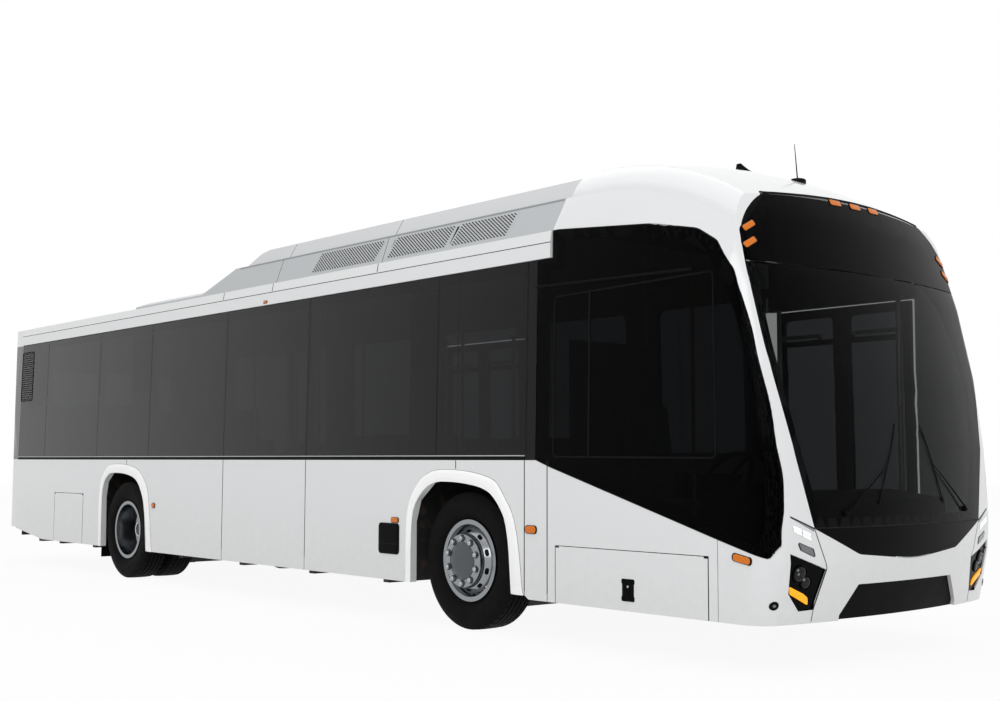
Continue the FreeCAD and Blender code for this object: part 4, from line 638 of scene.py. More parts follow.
def road_metal(name, colour, rough=0.55, metallic=0.6):
    """Cast or rolled steel under stone-chip paint: rough skin with patches of rust and dust."""
    made = finish(name, colour, rough, metallic=metallic, grain_mm=3.0, bump=0.25, tone=0.15, cloud_mm=70)
    grime = node(made.tree, "ShaderNodeTexNoise", {"Vector": made.place, "Scale": 9.0, "Detail": 6.0})
    dirt = node(made.tree, "ShaderNodeMapRange", {"Value": grime.outputs["Fac"], "From Min": 0.52,
                                                  "From Max": 0.7, "To Max": 0.5})
    return with_pattern(made, dirt.outputs["Result"], linear("#5A4A3C"))


def make_finishes():
    """Every finish of the bus, by a short name."""
    palette = colours()
    paint = tuple(palette.paint)
    FINISHES.update({
        "paint": body_paint("Gloss paint, white", paint),
        "moulding": body_paint("Gloss paint, arch mouldings", linear("#FFFFFF")),
        "banded": banded_paint("Gloss paint, white with black band", paint, linear("#0B0B0C")),
        # satin gelcoat on moulded glass fibre: grey, soft highlights
        "fairing": plain("Gelcoat, satin grey", tuple(palette.fairing), 0.42, grain_mm=6, bump=0.03,
                         tone=0.02, cloud_mm=700, IOR=1.5),
        # the same gelcoat on the fairing's flanks, a darker copy that paints their shade, and a little
        # rougher
        "fairing_shaded": plain("Gelcoat, grey flank, painted shade", linear("#B4B7B9"), 0.48, grain_mm=6, bump=0.03,
                              tone=0.03, cloud_mm=500, IOR=1.5),
        "glass": tinted_glass("Toughened glass, dark tint", tuple(palette.glass)),
        "screen": tinted_glass("Laminated glass, windscreen", linear("#727474"), shine=0.3, index=1.12),
        "cab_glass": tinted_glass("Toughened glass, cab side", linear("#3E4042"), shine=0.3, index=1.14),
        "header": tinted_glass("Laminated glass, dark header", linear("#2A2B2C"), shine=0.3, index=1.12),
        # fired ceramic print and primer behind the glass edge: flat black
        "frit": plain("Ceramic frit, black", linear("#050505"), 0.6, tone=0.1),
        # acrylic-capped ABS, moulded and polished: piano black
        "gloss_black": plain("ABS, gloss black", linear("#040405"), 0.08, tone=0.03, IOR=1.12),
        # injection-moulded ABS with a spark-eroded grain
        "trim": plain("ABS, grained black", linear("#09090A"), 0.5, grain_mm=1.6, bump=0.12, tone=0.08,
                      IOR=1.12),
        # extruded EPDM rubber: matt black with a skin shine
        "seal": plain("EPDM rubber seal", linear("#0B0B0C"), 0.55, tone=0.08, IOR=1.15),
        # the same rubber in a shut line, in shade
        "joint": plain("Joint sealant, dark", linear("#1C1C1D"), 0.7, tone=0.05, Specular_IOR_Level=0.2),
        "amber": lens_plastic("Polycarbonate, amber", tuple(palette.amber), 7.0),
        # the indicator's lens over its reflector, brighter and with a painted glow for the reflector's light
        "amber_painted_glow": lens_plastic("Polycarbonate, amber, painted glow", linear("#FFA808"), 9.0, glow=0.45),
        "red": lens_plastic("Polycarbonate, red", tuple(palette.red), 6.0),
        # frosted polycarbonate light guide: white, with a faint painted glow though unlit
        "light_guide": plain("Polycarbonate, frosted white, painted glow", linear("#F4F5F6"), 0.25, tone=0.02, cloud_mm=30,
                             IOR=1.58, Coat_Weight=0.6, Emission_Color=(1, 1, 1, 1),
                             Emission_Strength=0.25),
        # moulded edge between the cells of a lamp, pale grey
        "bezel": plain("ABS, pale grey", linear("#B4B7BA"), 0.35, tone=0.06, cloud_mm=30),
        # the same part in a recess, in its own shade
        "recess": plain("ABS, grey, recessed", linear("#85888B"), 0.5, tone=0.06, cloud_mm=30),
        # smoked lens over a reflector
        "smoked": plain("Polycarbonate, smoked", linear("#5E6062"), 0.15, tone=0.15, cloud_mm=25, IOR=1.58,
                        Coat_Weight=0.7),
        # clear projector lens: glass ball face over a dark chamber
        "projector": plain("Optical glass, projector", linear("#101214"), 0.03, tone=0.3, cloud_mm=20,
                           IOR=1.3),
        # vacuum-metallised bezel
        "chrome": plain("Chromed ABS", linear("#D8DADC"), 0.10, metallic=1.0, tone=0.03),
        # vulcanised rubber: dull black, dusty, with the fine grain of its mould
        "tyre": plain("Rubber, tyre", tuple(palette.rubber), 0.72, grain_mm=1.5, bump=0.15, tone=0.18,
                      cloud_mm=60, rough_spread=0.08, IOR=1.15),
        "rim_front": polished_metal("Forged aluminium, front wheel", linear("#8E9194"), 0.20, FRONT_AXLE),
        "rim_rear": polished_metal("Forged aluminium, rear wheel", linear("#8A8D90"), 0.22, REAR_AXLE),
        # stainless caps over the wheel nuts
        "nut": plain("Stainless steel, pressed", linear("#A4A7AA"), 0.14, metallic=1.0, tone=0.05,
                     cloud_mm=20),
        "hub": plain("Steel, dark painted hub", linear("#4A4B4D"), 0.35, metallic=0.7, tone=0.08,
                     cloud_mm=30),
        # deep-drawn steel cap, brushed in turning
        "cap": polished_metal("Stainless steel, hub cap", linear("#56595B"), 0.22, FRONT_AXLE),
        "chassis": road_metal("Rolled steel, chassis black", linear("#1C1D1F"), 0.6, 0.3),
        "cast": road_metal("Cast steel, grey", linear("#3A3B3D")),
        "motor": road_metal("Cast aluminium, motor case", linear("#8A8C8E"), 0.45, 0.8),
        "battery": plain("Powder coat, battery grey", linear("#9FA2A5"), 0.5, grain_mm=1.5, bump=0.05),
        # laminate on ply: pale grey, hard and wiped clean
        "lining": plain("Laminate, pale grey", linear("#A9ACAE"), 0.45, grain_mm=2.0, bump=0.04, tone=0.03),
        "dash": plain("Soft-touch PUR, charcoal", linear("#2B2C2E"), 0.6, grain_mm=1.8, bump=0.2,
                      tone=0.05),
        "floor": speckled_floor("Safety vinyl, grey", linear("#4B4D50"), linear("#8C8F92")),
        "shell": plain("Polypropylene, seat shell", linear("#3C4046"), 0.45, grain_mm=1.8, bump=0.1),
        "cloth": woven_cloth("Woven plush, seat", tuple(palette.seat), linear("#9FB1C6")),
        "rail": plain("Powder coat, yellow", tuple(palette.rail), 0.38, grain_mm=1.2, bump=0.04, tone=0.03),
        "steel": plain("Stainless steel, brushed", linear("#B0B2B4"), 0.30, metallic=1.0, grain_mm=0.8,
                       bump=0.02),
        "grip": plain("Leather-grain PUR, black", linear("#161617"), 0.5, grain_mm=2.5, bump=0.25),
    })


def wear(*pairs):
    """Gives CAD nodes that stay as they are their finish."""
    for name, key in pairs:
        for index in range(max(1, len(NODES[name].material_slots))):
            if not NODES[name].material_slots:
                NODES[name].data.materials.append(FINISHES[key])
            else:
                NODES[name].material_slots[index].material = FINISHES[key]


# ---------------------------------------------------------------- which face gets which finish
GLUE_GAP, POCKET_GAP = 0.0015, 0.0078          # from a pane to its ledge, and to the walls of its pocket
DOME_FOOT_Z, DOME_REAR_X = CANT_Z - 0.25, 4.4  # the dome and the heads of its pillars lie above and before
CLOSING_Z, CLOSING_X = 2.93, 4.3               # the panel that closes the dome's rear: above and behind
LINING_DEPTH, BAND_DEPTH = 0.045, 0.004        # of a wall's lining and of its black ledge behind the skin
GROOVE_DEPTHS = (0.0008, 0.0045)               # of the floors of the grooves between panels
FOLD_INSET, FOLD_REAR_X = 0.100, 4.0           # the dome's fold: in from the side, and its rear end
FAIRING_ENDS, FLANK_HEAD_Z = (-0.35, 3.85), 3.115              # x of its ends, head of its lower flanks


def shell_faces(middle, normal):
    """0 for the painted outside, 1 for the black ledge behind glass and the walls of its pocket, 2 for
    the lined inside."""
    gap = skin_gap(middle)
    outward = np.maximum(normal[:, 1] * np.sign(middle[:, 1]), normal[:, 0])
    glass = distance_to("windscreen", "side_glass_right", "side_glass_left", "front_mask_panel")(middle)
    ledge = (glass < GLUE_GAP) | ((glass < POCKET_GAP) & (outward < 0.6) & (gap < 0.03))
    closing = (normal[:, 0] < -0.7) & (middle[:, 2] > CLOSING_Z) & (middle[:, 0] < CLOSING_X)
    dome = ((normal[:, 2] > 0.25) | (outward > 0.3)) & (middle[:, 2] > DOME_FOOT_Z)
    dome &= (normal[:, 0] < 0.7) | (middle[:, 0] > DOME_REAR_X)
    painted = ((gap < 0.016) & (outward > 0.3)) | dome | closing
    return np.where(ledge, 1, np.where(painted, 0, 2))


def wall_faces(middle, normal):
    """0 for the painted panel, 1 for the black band behind the glass, 2 for the lining, 3 for the
    grooves between the panels."""
    outward = normal[:, 1] * np.sign(middle[:, 1])
    depth = side_depth(middle[:, 2]) - np.abs(middle[:, 1])
    lining = (outward < -0.5) | (depth > LINING_DEPTH)
    ledge = (middle[:, 2] > BELT_Z + 0.001) & (depth > BAND_DEPTH)
    groove = (middle[:, 2] < BELT_Z) & (depth > GROOVE_DEPTHS[0]) & (depth < GROOVE_DEPTHS[1])
    return np.select([lining, ledge, groove], [2, 1, 3], 0)


# ---------------------------------------------------------------- operators
CAMERA_PLACE = (10.5584, -7.5276, 1.2526)
CAMERA_TURN = (48.7247, 4.8556, 0.1405)         # heading, rise and roll in degrees
CAMERA_LENS, CAMERA_SENSOR = 46.93, 36.0        # millimetres
# name, place, point aimed at, length and breadth in metres, power in watts
STAGE_LAMPS = (("Overhead softbox", (0.5, -0.5, 8.5), (0.5, 0.0, 0.0), (16.0, 9.0), 250.0),
               ("Front softbox", (11.5, -8.0, 5.5), (3.0, 0.0, 1.4), (6.0, 5.0), 220.0))
FLOOR_REACH = 60.0                              # half the breadth of the floor


class BUS_OT_stage(bpy.types.Operator):
    """Camera, floor, soft overhead light and a plain white surround"""
    bl_idname = "bus.stage"
    bl_label = "Stage"

    def execute(self, context):
        add_camera()
        add_floor()
        for lamp in STAGE_LAMPS:
            add_light(*lamp)
        light_world()
        context.scene.view_settings.view_transform = "Standard"
        return {"FINISHED"}


def add_camera():
    """Camera at the front right, a little below eye level, looking slightly up at the bus."""
    heading, rise, roll = (math.radians(angle) for angle in CAMERA_TURN)
    ahead = Vector((-math.sin(heading) * math.cos(rise), math.cos(heading) * math.cos(rise),
                    math.sin(rise)))
    right = ahead.cross(Vector((0, 0, 1))).normalized()
    turn = Matrix((right, right.cross(ahead), -ahead)).transposed() @ Matrix.Rotation(roll, 3, "Z")
    lens = bpy.data.cameras.new("Camera")
    lens.lens, lens.sensor_width, lens.sensor_fit = CAMERA_LENS, CAMERA_SENSOR, "HORIZONTAL"
    lens.clip_end = 300.0
    camera = bpy.data.objects.new("Camera", lens)
    camera.matrix_world = Matrix.Translation(CAMERA_PLACE) @ turn.to_4x4()
    bpy.context.scene.collection.objects.link(camera)
    bpy.context.scene.camera = camera


def straight_rays(tree):
    """1 for rays from the camera, from mirrors and through glass, 0 for the light on the bus."""
    path = node(tree, "ShaderNodeLightPath").outputs
    seen = node(tree, "ShaderNodeMath", {0: path["Is Camera Ray"], 1: path["Is Glossy Ray"]},
                operation="MAXIMUM")
    return node(tree, "ShaderNodeMath", {0: seen.outputs["Value"], 1: path["Is Transmission Ray"]},
                operation="MAXIMUM").outputs["Value"]


def add_floor():
    """Matt white floor that fades into the surround and keeps a soft shadow under the bus."""
    material = bpy.data.materials.new("Studio floor, matt white")
    material.use_nodes = True
    tree = material.node_tree
    tree.nodes.clear()
    grain = node(tree, "ShaderNodeTexNoise", {"Vector": node(tree, "ShaderNodeTexCoord").outputs["Object"],
                                              "Scale": 2.0, "Detail": 4.0})
    colour = tuple(colours().floor)
    tint = node(tree, "ShaderNodeMix", {"Factor": grain.outputs["Fac"], "A": rgba(colour, 0.99),
                                        "B": rgba(colour, 1.0)}, data_type="RGBA")
    matt = node(tree, "ShaderNodeBsdfDiffuse", {"Color": tint.outputs["Result"]})
    white = node(tree, "ShaderNodeEmission", {"Color": (1, 1, 1, 1), "Strength": 1.0})
    share = node(tree, "ShaderNodeMath", {0: straight_rays(tree), 1: 0.93}, operation="MULTIPLY")
    mixed = node(tree, "ShaderNodeMixShader", {0: share.outputs["Value"], 1: matt.outputs["BSDF"],
                                               2: white.outputs["Emission"]})
    node(tree, "ShaderNodeOutputMaterial", {"Surface": mixed.outputs["Shader"]})
    steps = np.linspace(-FLOOR_REACH, FLOOR_REACH, 13)
    across, along = np.meshgrid(steps, steps, indexing="ij")
    points, quads = grid(np.stack([across, along, np.zeros_like(across)], axis=-1))
    mesh = bpy.data.meshes.new("studio_floor")
    mesh.from_pydata(points, [], quads)
    mesh.materials.append(material)
    floor = bpy.data.objects.new("studio_floor", mesh)
    bpy.context.scene.collection.objects.link(floor)


def add_light(name, place, aim, size, watts):
    """Soft rectangular lamp aimed at a point."""
    lamp = bpy.data.lights.new(name, "AREA")
    lamp.shape, lamp.size, lamp.size_y, lamp.energy = "RECTANGLE", size[0], size[1], watts
    made = bpy.data.objects.new(name, lamp)
    way = Vector(aim) - Vector(place)
    made.matrix_world = Matrix.Translation(place) @ way.to_track_quat("-Z", "Y").to_matrix().to_4x4()
    bpy.context.scene.collection.objects.link(made)


def light_world():
    """White surround in view and in reflections, and a grey one for the light that it casts."""
    world = bpy.context.scene.world or bpy.data.worlds.new("World")
    bpy.context.scene.world = world
    world.use_nodes = True
    tree = world.node_tree
    tree.nodes.clear()
    strength = node(tree, "ShaderNodeMapRange", {"Value": straight_rays(tree), "To Min": 0.80, "To Max": 1.0})
    ground = node(tree, "ShaderNodeBackground", {"Color": (1, 1, 1, 1),
                                                 "Strength": strength.outputs["Result"]})
    node(tree, "ShaderNodeOutputWorld", {"Surface": ground.outputs["Background"]})


class BUS_OT_paintwork(bpy.types.Operator):
    """Painted panels: cowl, bumper, side walls, roof, rear wall, lids and wheel arch mouldings"""
    bl_idname = "bus.paintwork"
    bl_label = "Paintwork"

    def execute(self, context):
        dress("front_cowl", ["paint", "frit", "dash"], shell_faces, crease=dome_fold)
        for name in ("front_bumper", "corner_panels"):
            dress(name, ["paint", "trim"], lambda middle, normal: (skin_gap(middle) > 0.025).astype(int))
        for name in ("wall_right", "wall_left"):
            dress(name, ["paint", "frit", "lining", "joint"], wall_faces)
        dress("roof_panel", ["paint", "lining"], lambda middle, normal: np.where(
            (normal[:, 2] < -0.2) & (np.abs(middle[:, 1]) < HALF_WIDTH - 0.05), 1, 0))
        dress("rear_wall", ["banded", "lining"], tail_faces)
        dress("rear_lid", ["paint", "trim"], tail_faces)
        for name in ("side_lid_front", "side_lid_rear"):
            dress(name, ["paint", "trim"], lambda middle, normal: np.where(
                middle[:, 1] > -HALF_WIDTH + 0.004, 1, 0))
        dress("roof_fairing", ["fairing", "trim", "fairing_shaded"], fairing_faces)
        add_louvres()
        add_fairing_trim()
        wear(("roof_batteries", "battery"))
        add_flares()
        return {"FINISHED"}


def dome_fold(points):
    """Vertices on the fold between the dome's flank and its shoulder, at one distance from the side."""
    near = np.abs(np.abs(points[:, 1]) - (HALF_WIDTH - FOLD_INSET)) < 0.002
    return near & (points[:, 2] > CANT_Z) & (points[:, 0] > FOLD_REAR_X)


def tail_faces(middle, normal):
    """0 for the painted outside of the rear end, 1 for its lined inside."""
    inward = (normal[:, 0] > 0.3) & (middle[:, 2] < CANT_Z + 0.1)
    inward |= normal[:, 1] * np.sign(middle[:, 1]) < -0.3
    inward |= (normal[:, 2] < -0.5) & (middle[:, 2] > 2.5)
    return np.where(inward & (side_depth(middle[:, 2]) - np.abs(middle[:, 1]) > 0.02), 1, 0)


def fairing_faces(middle, normal):
    """0 for the grey outside of the fairing, 1 for its inside and the walls of its slots, in black that
    paints their shade, 2 for its lower flanks, in a darker grey that paints their shade."""
    outward = normal[:, 1] * np.sign(middle[:, 1])
    ends = (middle[:, 0] < FAIRING_ENDS[0]) | (middle[:, 0] > FAIRING_ENDS[1])
    # black on the inside and on the slot walls is painted shade
    inside = (outward < 0.05) & (normal[:, 2] < 0.3) & ~(ends & (np.abs(normal[:, 0]) > 0.5))
    slots = (np.abs(normal[:, 0]) > 0.7) & ~ends
    # the side-facing lower flanks take a darker grey: painted shade
    flank = (np.abs(normal[:, 1]) > 0.6) & (middle[:, 2] < FLANK_HEAD_Z)
    return np.where(inside | slots, 1, np.where(flank, 2, 0))


# start and end of each louvre field at its foot; then the distances of the fields' feet and heads up the
# slope, their slant along the bus for each metre up it, and the pitch, length and height of their slots
LOUVRE_FIELDS = ((0.860, 1.830), (1.975, 2.765), (2.800, 3.480))
FIELD_FOOT, FIELD_HEAD, FIELD_SLANT = 0.034, 0.212, 0.45
SLOT_PITCH, SLOT_LENGTH, SLOT_HEIGHT = 0.0375, 0.036, 0.0085


def add_louvres():
    """Louvre fields of the fairing: slanted plates with rows of short slots that lean the other way.
    Each slot is a low black pad on its plate, not cut through, that paints the shade of an opening.
    A slot's centre is its column's place plus the field's slant times its height up the slope."""
    rise = FIELD_HEAD - FIELD_FOOT
    rows = sizes().louvre_rows
    slot = tilted(rounded(block(0, 0, SLOT_LENGTH, SLOT_HEIGHT), 0.004, 3), math.radians(-30))
    for side in (-1, 1):
        slope = on_slope(side)
        # a slot is a black pad that paints the shade of an opening
        slot_shade_pad = raised(slot, [(0, 0.0016), (1, 0.0016), (1, 0.0002), (0, 0.0002)], slope)
        origin = slope(np.array(0.0), np.array(0.0), np.array(0.0))
        up = slope(np.array(0.0), np.array(1.0), np.array(0.0)) - origin
        parts = []
        for low, high in LOUVRE_FIELDS:
            plate = [(low, FIELD_FOOT), (high, FIELD_FOOT), (high + FIELD_SLANT * rise, FIELD_HEAD),
                     (low + FIELD_SLANT * rise, FIELD_HEAD)]
            levels = [(0, 0.0012), (1, 0.0012), (1, -0.001), (0, -0.001)]
            # the plates take the flanks' darker grey, a painted shade
            parts.append((raised(rounded(plate, 0.008), levels, slope), "fairing_shaded"))
            along, above = np.meshgrid(np.arange(low + SLOT_PITCH, high - SLOT_PITCH / 2, SLOT_PITCH),
                                       (np.arange(rows) + 0.5) * (rise / rows), indexing="ij")
            along = along + FIELD_SLANT * above
            spots = along[..., None] * (1, 0, 0) + (FIELD_FOOT + above)[..., None] * up
            parts.append((copies(slot_shade_pad, spots.reshape(-1, 3)), "trim"))
        put("louvres_" + name_of(side), parts)


STRIP_SEAMS = (-0.620, 0.275, 1.905)            # x of the seams in the white strip
ROOF_COVERS = ((0.430, 0.760), (0.820, 1.640))  # start and end of each cover plate on the fairing


def add_fairing_trim():
    """Small parts beside the roof: shadow line under the upper slope, seams of the white strip, the
    dome's flange over the fairing's end and the cover plates on top."""
    for side in (-1, 1):
        lower, upper = on_slope(side), on_slope(side, UPPER_SLOPE)
        strip, top = on_slope(side, CORNICE_TOP), on_slope(side, FAIRING_TOP)
        parts = [(ribbon(run([(-0.480, 0.237), (4.020, 0.237)], 32), 0.016, 0.0008, lower), "recess")]
        parts += [(ribbon([(x, 0.001), (x, 0.035), (x, 0.074)], 0.008, 0.0006, strip), "joint")
                  for x in STRIP_SEAMS]
        parts += [(band(rear, front, 0.0015, slope), "paint") for rear, front, slope in (
            ([(3.981, 0.002), (4.040, 0.245)], [(4.042, 0.002), (4.101, 0.245)], lower),
            ([(4.045, 0.001), (4.078, 0.151)], [(4.107, 0.001), (4.139, 0.151)], upper))]
        for low, high in ROOF_COVERS:
            plate = rounded([(low, 0.055), (high, 0.055), (high, 0.480), (low, 0.480)], 0.020)
            parts.append((raised(plate, lens(0.016, 0.06), top), "recess"))
        put("fairing_trim_" + name_of(side), parts)


# corners of each wheel opening and of its moulding's outer edge from foot to foot, x and z in metres
OPENINGS = (
    ([(2.402, 0.240), (2.400, 0.780), (2.458, 0.948), (2.648, 1.098), (2.968, 1.098), (3.298, 1.056),
      (3.434, 0.949), (3.534, 0.792), (3.587, 0.230)],
     [(2.346, 0.240), (2.340, 0.800), (2.395, 0.985), (2.600, 1.186), (3.017, 1.190), (3.389, 1.132),
      (3.480, 1.030), (3.633, 0.825), (3.709, 0.230)]),
    ([(-3.188, 0.240), (-3.202, 0.855), (-3.154, 1.020), (-3.033, 1.107), (-2.920, 1.120),
      (-2.636, 1.113), (-2.376, 1.065), (-2.254, 0.945), (-2.169, 0.792), (-2.085, 0.240)],
     [(-3.244, 0.240), (-3.262, 0.870), (-3.205, 1.060), (-3.060, 1.195), (-2.944, 1.210),
      (-2.659, 1.214), (-2.320, 1.170), (-2.141, 1.025), (-2.067, 0.880), (-1.968, 0.240)]),
)
# section of a moulding from its outer edge: share of the way in, height over the panel
FLARE_RISE = 0.0112
FLARE_SECTION = [(0, -0.002), (0, 0.003), (0.05, 0.0085), (0.12, 0.0110), (0.3, FLARE_RISE),
                 (0.62, FLARE_RISE), (0.66, 0.0105), (0.85, 0.0050), (0.99, 0.0010), (1, -0.004)]


def add_flares():
    """Wheel arch mouldings: a band between the opening and a smooth outer line, with a bevel along
    its outer edge and a wide chamfer falling into the arch.  Both lines are evened by corner cutting."""
    low = float(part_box("arch_flares")[0][2])
    parts = []
    for side in (-1, 1):
        skin = on_side(side)
        for inner, outer in OPENINGS:
            first, second = (cut_corners(np.array(line), 2) for line in (outer, inner))
            first[:, 1] = np.maximum(first[:, 1], low)
            second[:, 1] = np.maximum(second[:, 1], low)
            shell = band(first, second, FLARE_RISE, skin, steps=96, levels=FLARE_SECTION)
            edge = ribbon(run(first, 96), 0.005, 0.0006, skin)
            parts += [(shell, "moulding"), (edge, "joint")]
    flares = put("arch_mouldings", parts)
    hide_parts("arch_flares")


SCREEN_HEIGHT = 1.624       # from the foot of the windscreen to the seam under its header pane


class BUS_OT_glazing(bpy.types.Operator):
    """Windscreen, side and rear glass, and the black panel below the windscreen"""
    bl_idname = "bus.glazing"
    bl_label = "Glazing"

    def execute(self, context):
        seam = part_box("windscreen")[0][2] + SCREEN_HEIGHT
        dress("windscreen", ["screen", "header"],
              lambda middle, normal: (middle[:, 2] > seam).astype(int))
        add_screen_corners()
        add_mask_edge()
        cab_start = float(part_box("front_cowl")[0][0])
        for name in ("side_glass_right", "side_glass_left"):
            dress(name, ["glass", "cab_glass"],
                  lambda middle, normal: (middle[:, 0] > cab_start - 0.001).astype(int))
        dress("rear_window", ["glass"])
        for name in ("front_mask_panel", "headlamp_pods"):
            dress(name, ["gloss_black"])
        add_aerials()
        wear(("bumper_grille", "trim"), ("mud_flaps", "seal"))
        return {"FINISHED"}


def add_screen_corners():
    """Round upper corners of the header pane: black print between the pane's slanted edge and an arc."""
    chord = [(1.182, 2.600), (1.170, 2.690), (0.900, 2.955), (0.845, 2.966)]
    curve = [(1.199, 2.590), (1.190, 2.655), (1.172, 2.705), (1.146, 2.752), (1.100, 2.812), (1.050, 2.860),
             (0.990, 2.904), (0.925, 2.942), (0.850, 2.968)]
    for side in (-1, 1):
        corner = band(cut_corners(np.array(curve), 2), chord, 0.0006,
                      lambda a, b, h, side=side: on_nose(side * a, b, h), back=0.001)
        put("header_corner_" + name_of(side), [(corner, "gloss_black")])
    half = [(0.250, 2.9965), (0.500, 2.985), (0.800, 2.9655), (0.900, 2.956)]
    head = [(-y, z) for y, z in half[::-1]] + [(0.0, 3.000)] + half
    put("header_seal", [(ribbon(run(head, 48), 0.014, 0.001, on_nose), "seal")])


def add_aerials():
    """Roof aerials: a shark fin, whose section is a thin lens drawn in towards a raked crest, and a
    sprung whip on a round foot."""
    (low_x, _, _), (high_x, _, tip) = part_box("roof_aerials")
    length, height, half_thick = 0.180, 0.088, 0.016
    rise = np.linspace(0, 1, 9)[:, None]
    turn = np.linspace(0, TAU, 24, endpoint=False)[None]
    rear, front = low_x + 0.020 + 0.020 * rise, low_x + 0.020 + length - 0.120 * rise ** 0.8
    x = (rear + front) / 2 + (front - rear) / 2 * np.cos(turn)
    y = half_thick * (1 - 0.8 * rise) * np.sin(turn)
    fin = np.stack([x, y, tip - 0.144 + height * rise + 0 * turn], axis=-1)
    place, foot = high_x - 0.060, tip - 0.270
    disc = tube([(place, 0, foot + z) for z in (-0.020, 0.006, 0.014, 0.021)],
                [0.058, 0.058, 0.046, 0.014], 32)
    whip = tube(run([(place, 0, foot), (place - 0.022, 0, tip - 0.0005)], 12),
                np.linspace(0.005, 0.0022, 12))
    made = put("aerials", [(capped(fin), "trim"), (disc, "seal"), (whip, "seal")])
    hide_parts("roof_aerials")


def add_mask_edge():
    """Lower edge of the black panel, bowed: print over the bumper's lip near the middle, paint over
    the panel towards the ends; and the sloping ends of the air intake."""
    cut = cut_corners(np.array([(0.0, 0.6467), (0.20, 0.659), (0.664, 0.7175), (0.700, 0.722), (0.732, 0.739),
                                (0.956, 0.856)]), 1)
    bow = cut_corners(np.array([(0.0, 0.6479), (0.14, 0.654), (0.513, 0.686), (0.560, 0.690), (0.603, 0.708),
                                (0.956, 0.856)]), 1)
    foot = [(0.738, 0.2905), (0.738, 0.312), (0.545, 0.509)]
    inner = [(0.672, 0.2905), (0.672, 0.325), (0.533, 0.509)]
    for side in (-1, 1):
        def skin(a, b, h, side=side):
            return on_nose(side * a, b, h)

        def strip(low, high, lift, drop):
            """The bow and the cut between two distances from the middle, each moved in height."""
            across = np.linspace(low, high, 24)
            return [np.stack([across, np.interp(across, *line.T) + shift], axis=1)
                    for line, shift in ((bow, lift), (cut, drop))]
        painted = band(*strip(0.615, 0.950, 0, -0.004), 0.0008, skin)
        printed = band(*strip(0.205, 0.640, 0, 0.014), 0.0008, skin)
        ends = band(foot, inner, 0.0005, skin, back=0.027)
        put("mask_edge_" + name_of(side), [(painted, "paint"), (printed, "gloss_black"),
                                           (ends, "paint")])


class BUS_OT_tyres(bpy.types.Operator):
    """Six treaded tyres, with their rounded walls and grooved treads"""
    bl_idname = "bus.tyres"
    bl_label = "Tyres"

    def execute(self, context):
        single = [(tyre(FRONT_AXLE, FRONT_OUT), "tyre")]
        twins = [(tyre(REAR_AXLE, REAR_OUT), "tyre"), (tyre(REAR_AXLE, TWIN_IN + TYRE_WIDTH), "tyre")]
        for side in (-1, 1):
            for stem, parts in (("tyre_front_", single), ("tyres_rear_", twins)):
                solid = stem + name_of(side)
                made = wheel(parts, "treaded_" + solid, BODY[solid], side, smooth=40)
                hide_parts(solid)
        return {"FINISHED"}


def cut_corners(path, rounds):
    """Smooth line from a broken one: each round puts points at a quarter and three quarters of
    every edge in place of its corners, and keeps the two ends."""
    for _ in range(rounds):
        before, after = path[:-1], path[1:]
        middle = np.stack([before * 0.75 + after * 0.25, before * 0.25 + after * 0.75], axis=1).reshape(-1, 2)
        path = np.concatenate([path[:1], middle, path[-1:]])
    return path


# section of a tyre from its bead to its shoulder: radius, distance in from the sidewall's plane
TYRE_WALL = [(0.2863, 0.040), (0.3163, 0.034), (0.335, 0.014), (0.3663, 0.001), (0.42, 0.0005),
             (0.462, 0.004), (0.500, 0.021), (TYRE_R - 0.003, 0.030)]
TYRE_SHOULDER = [(TYRE_R - 0.003, 0.036), (TYRE_R - 0.002, 0.050), (TYRE_R - 0.002, 0.056)]
GROOVES = (-0.066, -0.022, 0.022, 0.066)        # middles of the tread's grooves, from the tyre's middle
GROOVE_SWING, NOTCH_DEPTH = 0.004, 0.006
TYRE_STEPS, NOTCHES = 288, 48                   # points and shoulder notches round the tyre


def tyre(axle_x, outer_y):
    """Closed tyre: a section of wall, shoulder and tread, turned round the axle.  Four grooves run
    round the tread, swinging from side to side as a triangle wave of the angle, and the shoulders
    are notched by a square wave of it."""
    wall = cut_corners(np.array(TYRE_WALL), 3)
    wall[12] -= (0, 0.0016)                     # a fine rib that runs round the wall
    tread = [(TYRE_R - 0.002 * (centre / 0.1) ** 2 - sizes().tread_depth * sunk,
              TYRE_WIDTH / 2 + centre + offset)
             for centre in GROOVES for offset, sunk in ((-0.0055, 0), (-0.004, 1), (0.004, 1), (0.0055, 0))]
    far = [(radius, TYRE_WIDTH - inward) for radius, inward in TYRE_SHOULDER[::-1]]
    profile = np.concatenate([wall, TYRE_SHOULDER, tread, far, wall[::-1] * (1, -1) + (0, TYRE_WIDTH)])
    angle = np.linspace(0, TAU, TYRE_STEPS, endpoint=False)
    phase = (angle * NOTCHES / TAU) % 1.0
    wave = 2 * np.abs(phase - 0.5) * 2 - 1
    swing = np.zeros(len(profile))
    start = len(wall) + len(TYRE_SHOULDER)
    swing[start:start + len(tread)] = GROOVE_SWING
    cut = np.zeros(len(profile))
    edges = np.array([len(wall) - 1, len(wall), len(wall) + 1])
    cut[edges] = NOTCH_DEPTH
    cut[len(profile) - 1 - edges] = NOTCH_DEPTH
    radius = profile[:, :1] - cut[:, None] * (phase < 0.33).astype(float)[None]
    inward = profile[:, 1:] + swing[:, None] * wave[None]
    points = np.stack([axle_x + radius * np.cos(angle), outer_y - inward,
                       TYRE_R + radius * np.sin(angle)], axis=-1)
    return grid(points, around=True, ring=True)


HUB_PLATE = -0.046          # depth of the front hub plate, which stands outside the sidewall's plane
HAND_HOLES, NUTS = 10, 10
REAR_NUTS = 0.1365          # radius of the circle of wheel nuts, rear
FRONT_CAP, REAR_CAP = 0.118, 0.112              # radii of the dark painted middles
# where the cone behind the front plate starts, its radius and depth, and the way down its slope
CONE_RADIUS, CONE_DEPTH, CONE_OUT, CONE_IN = 0.2195, 0.017, 0.70, 0.72


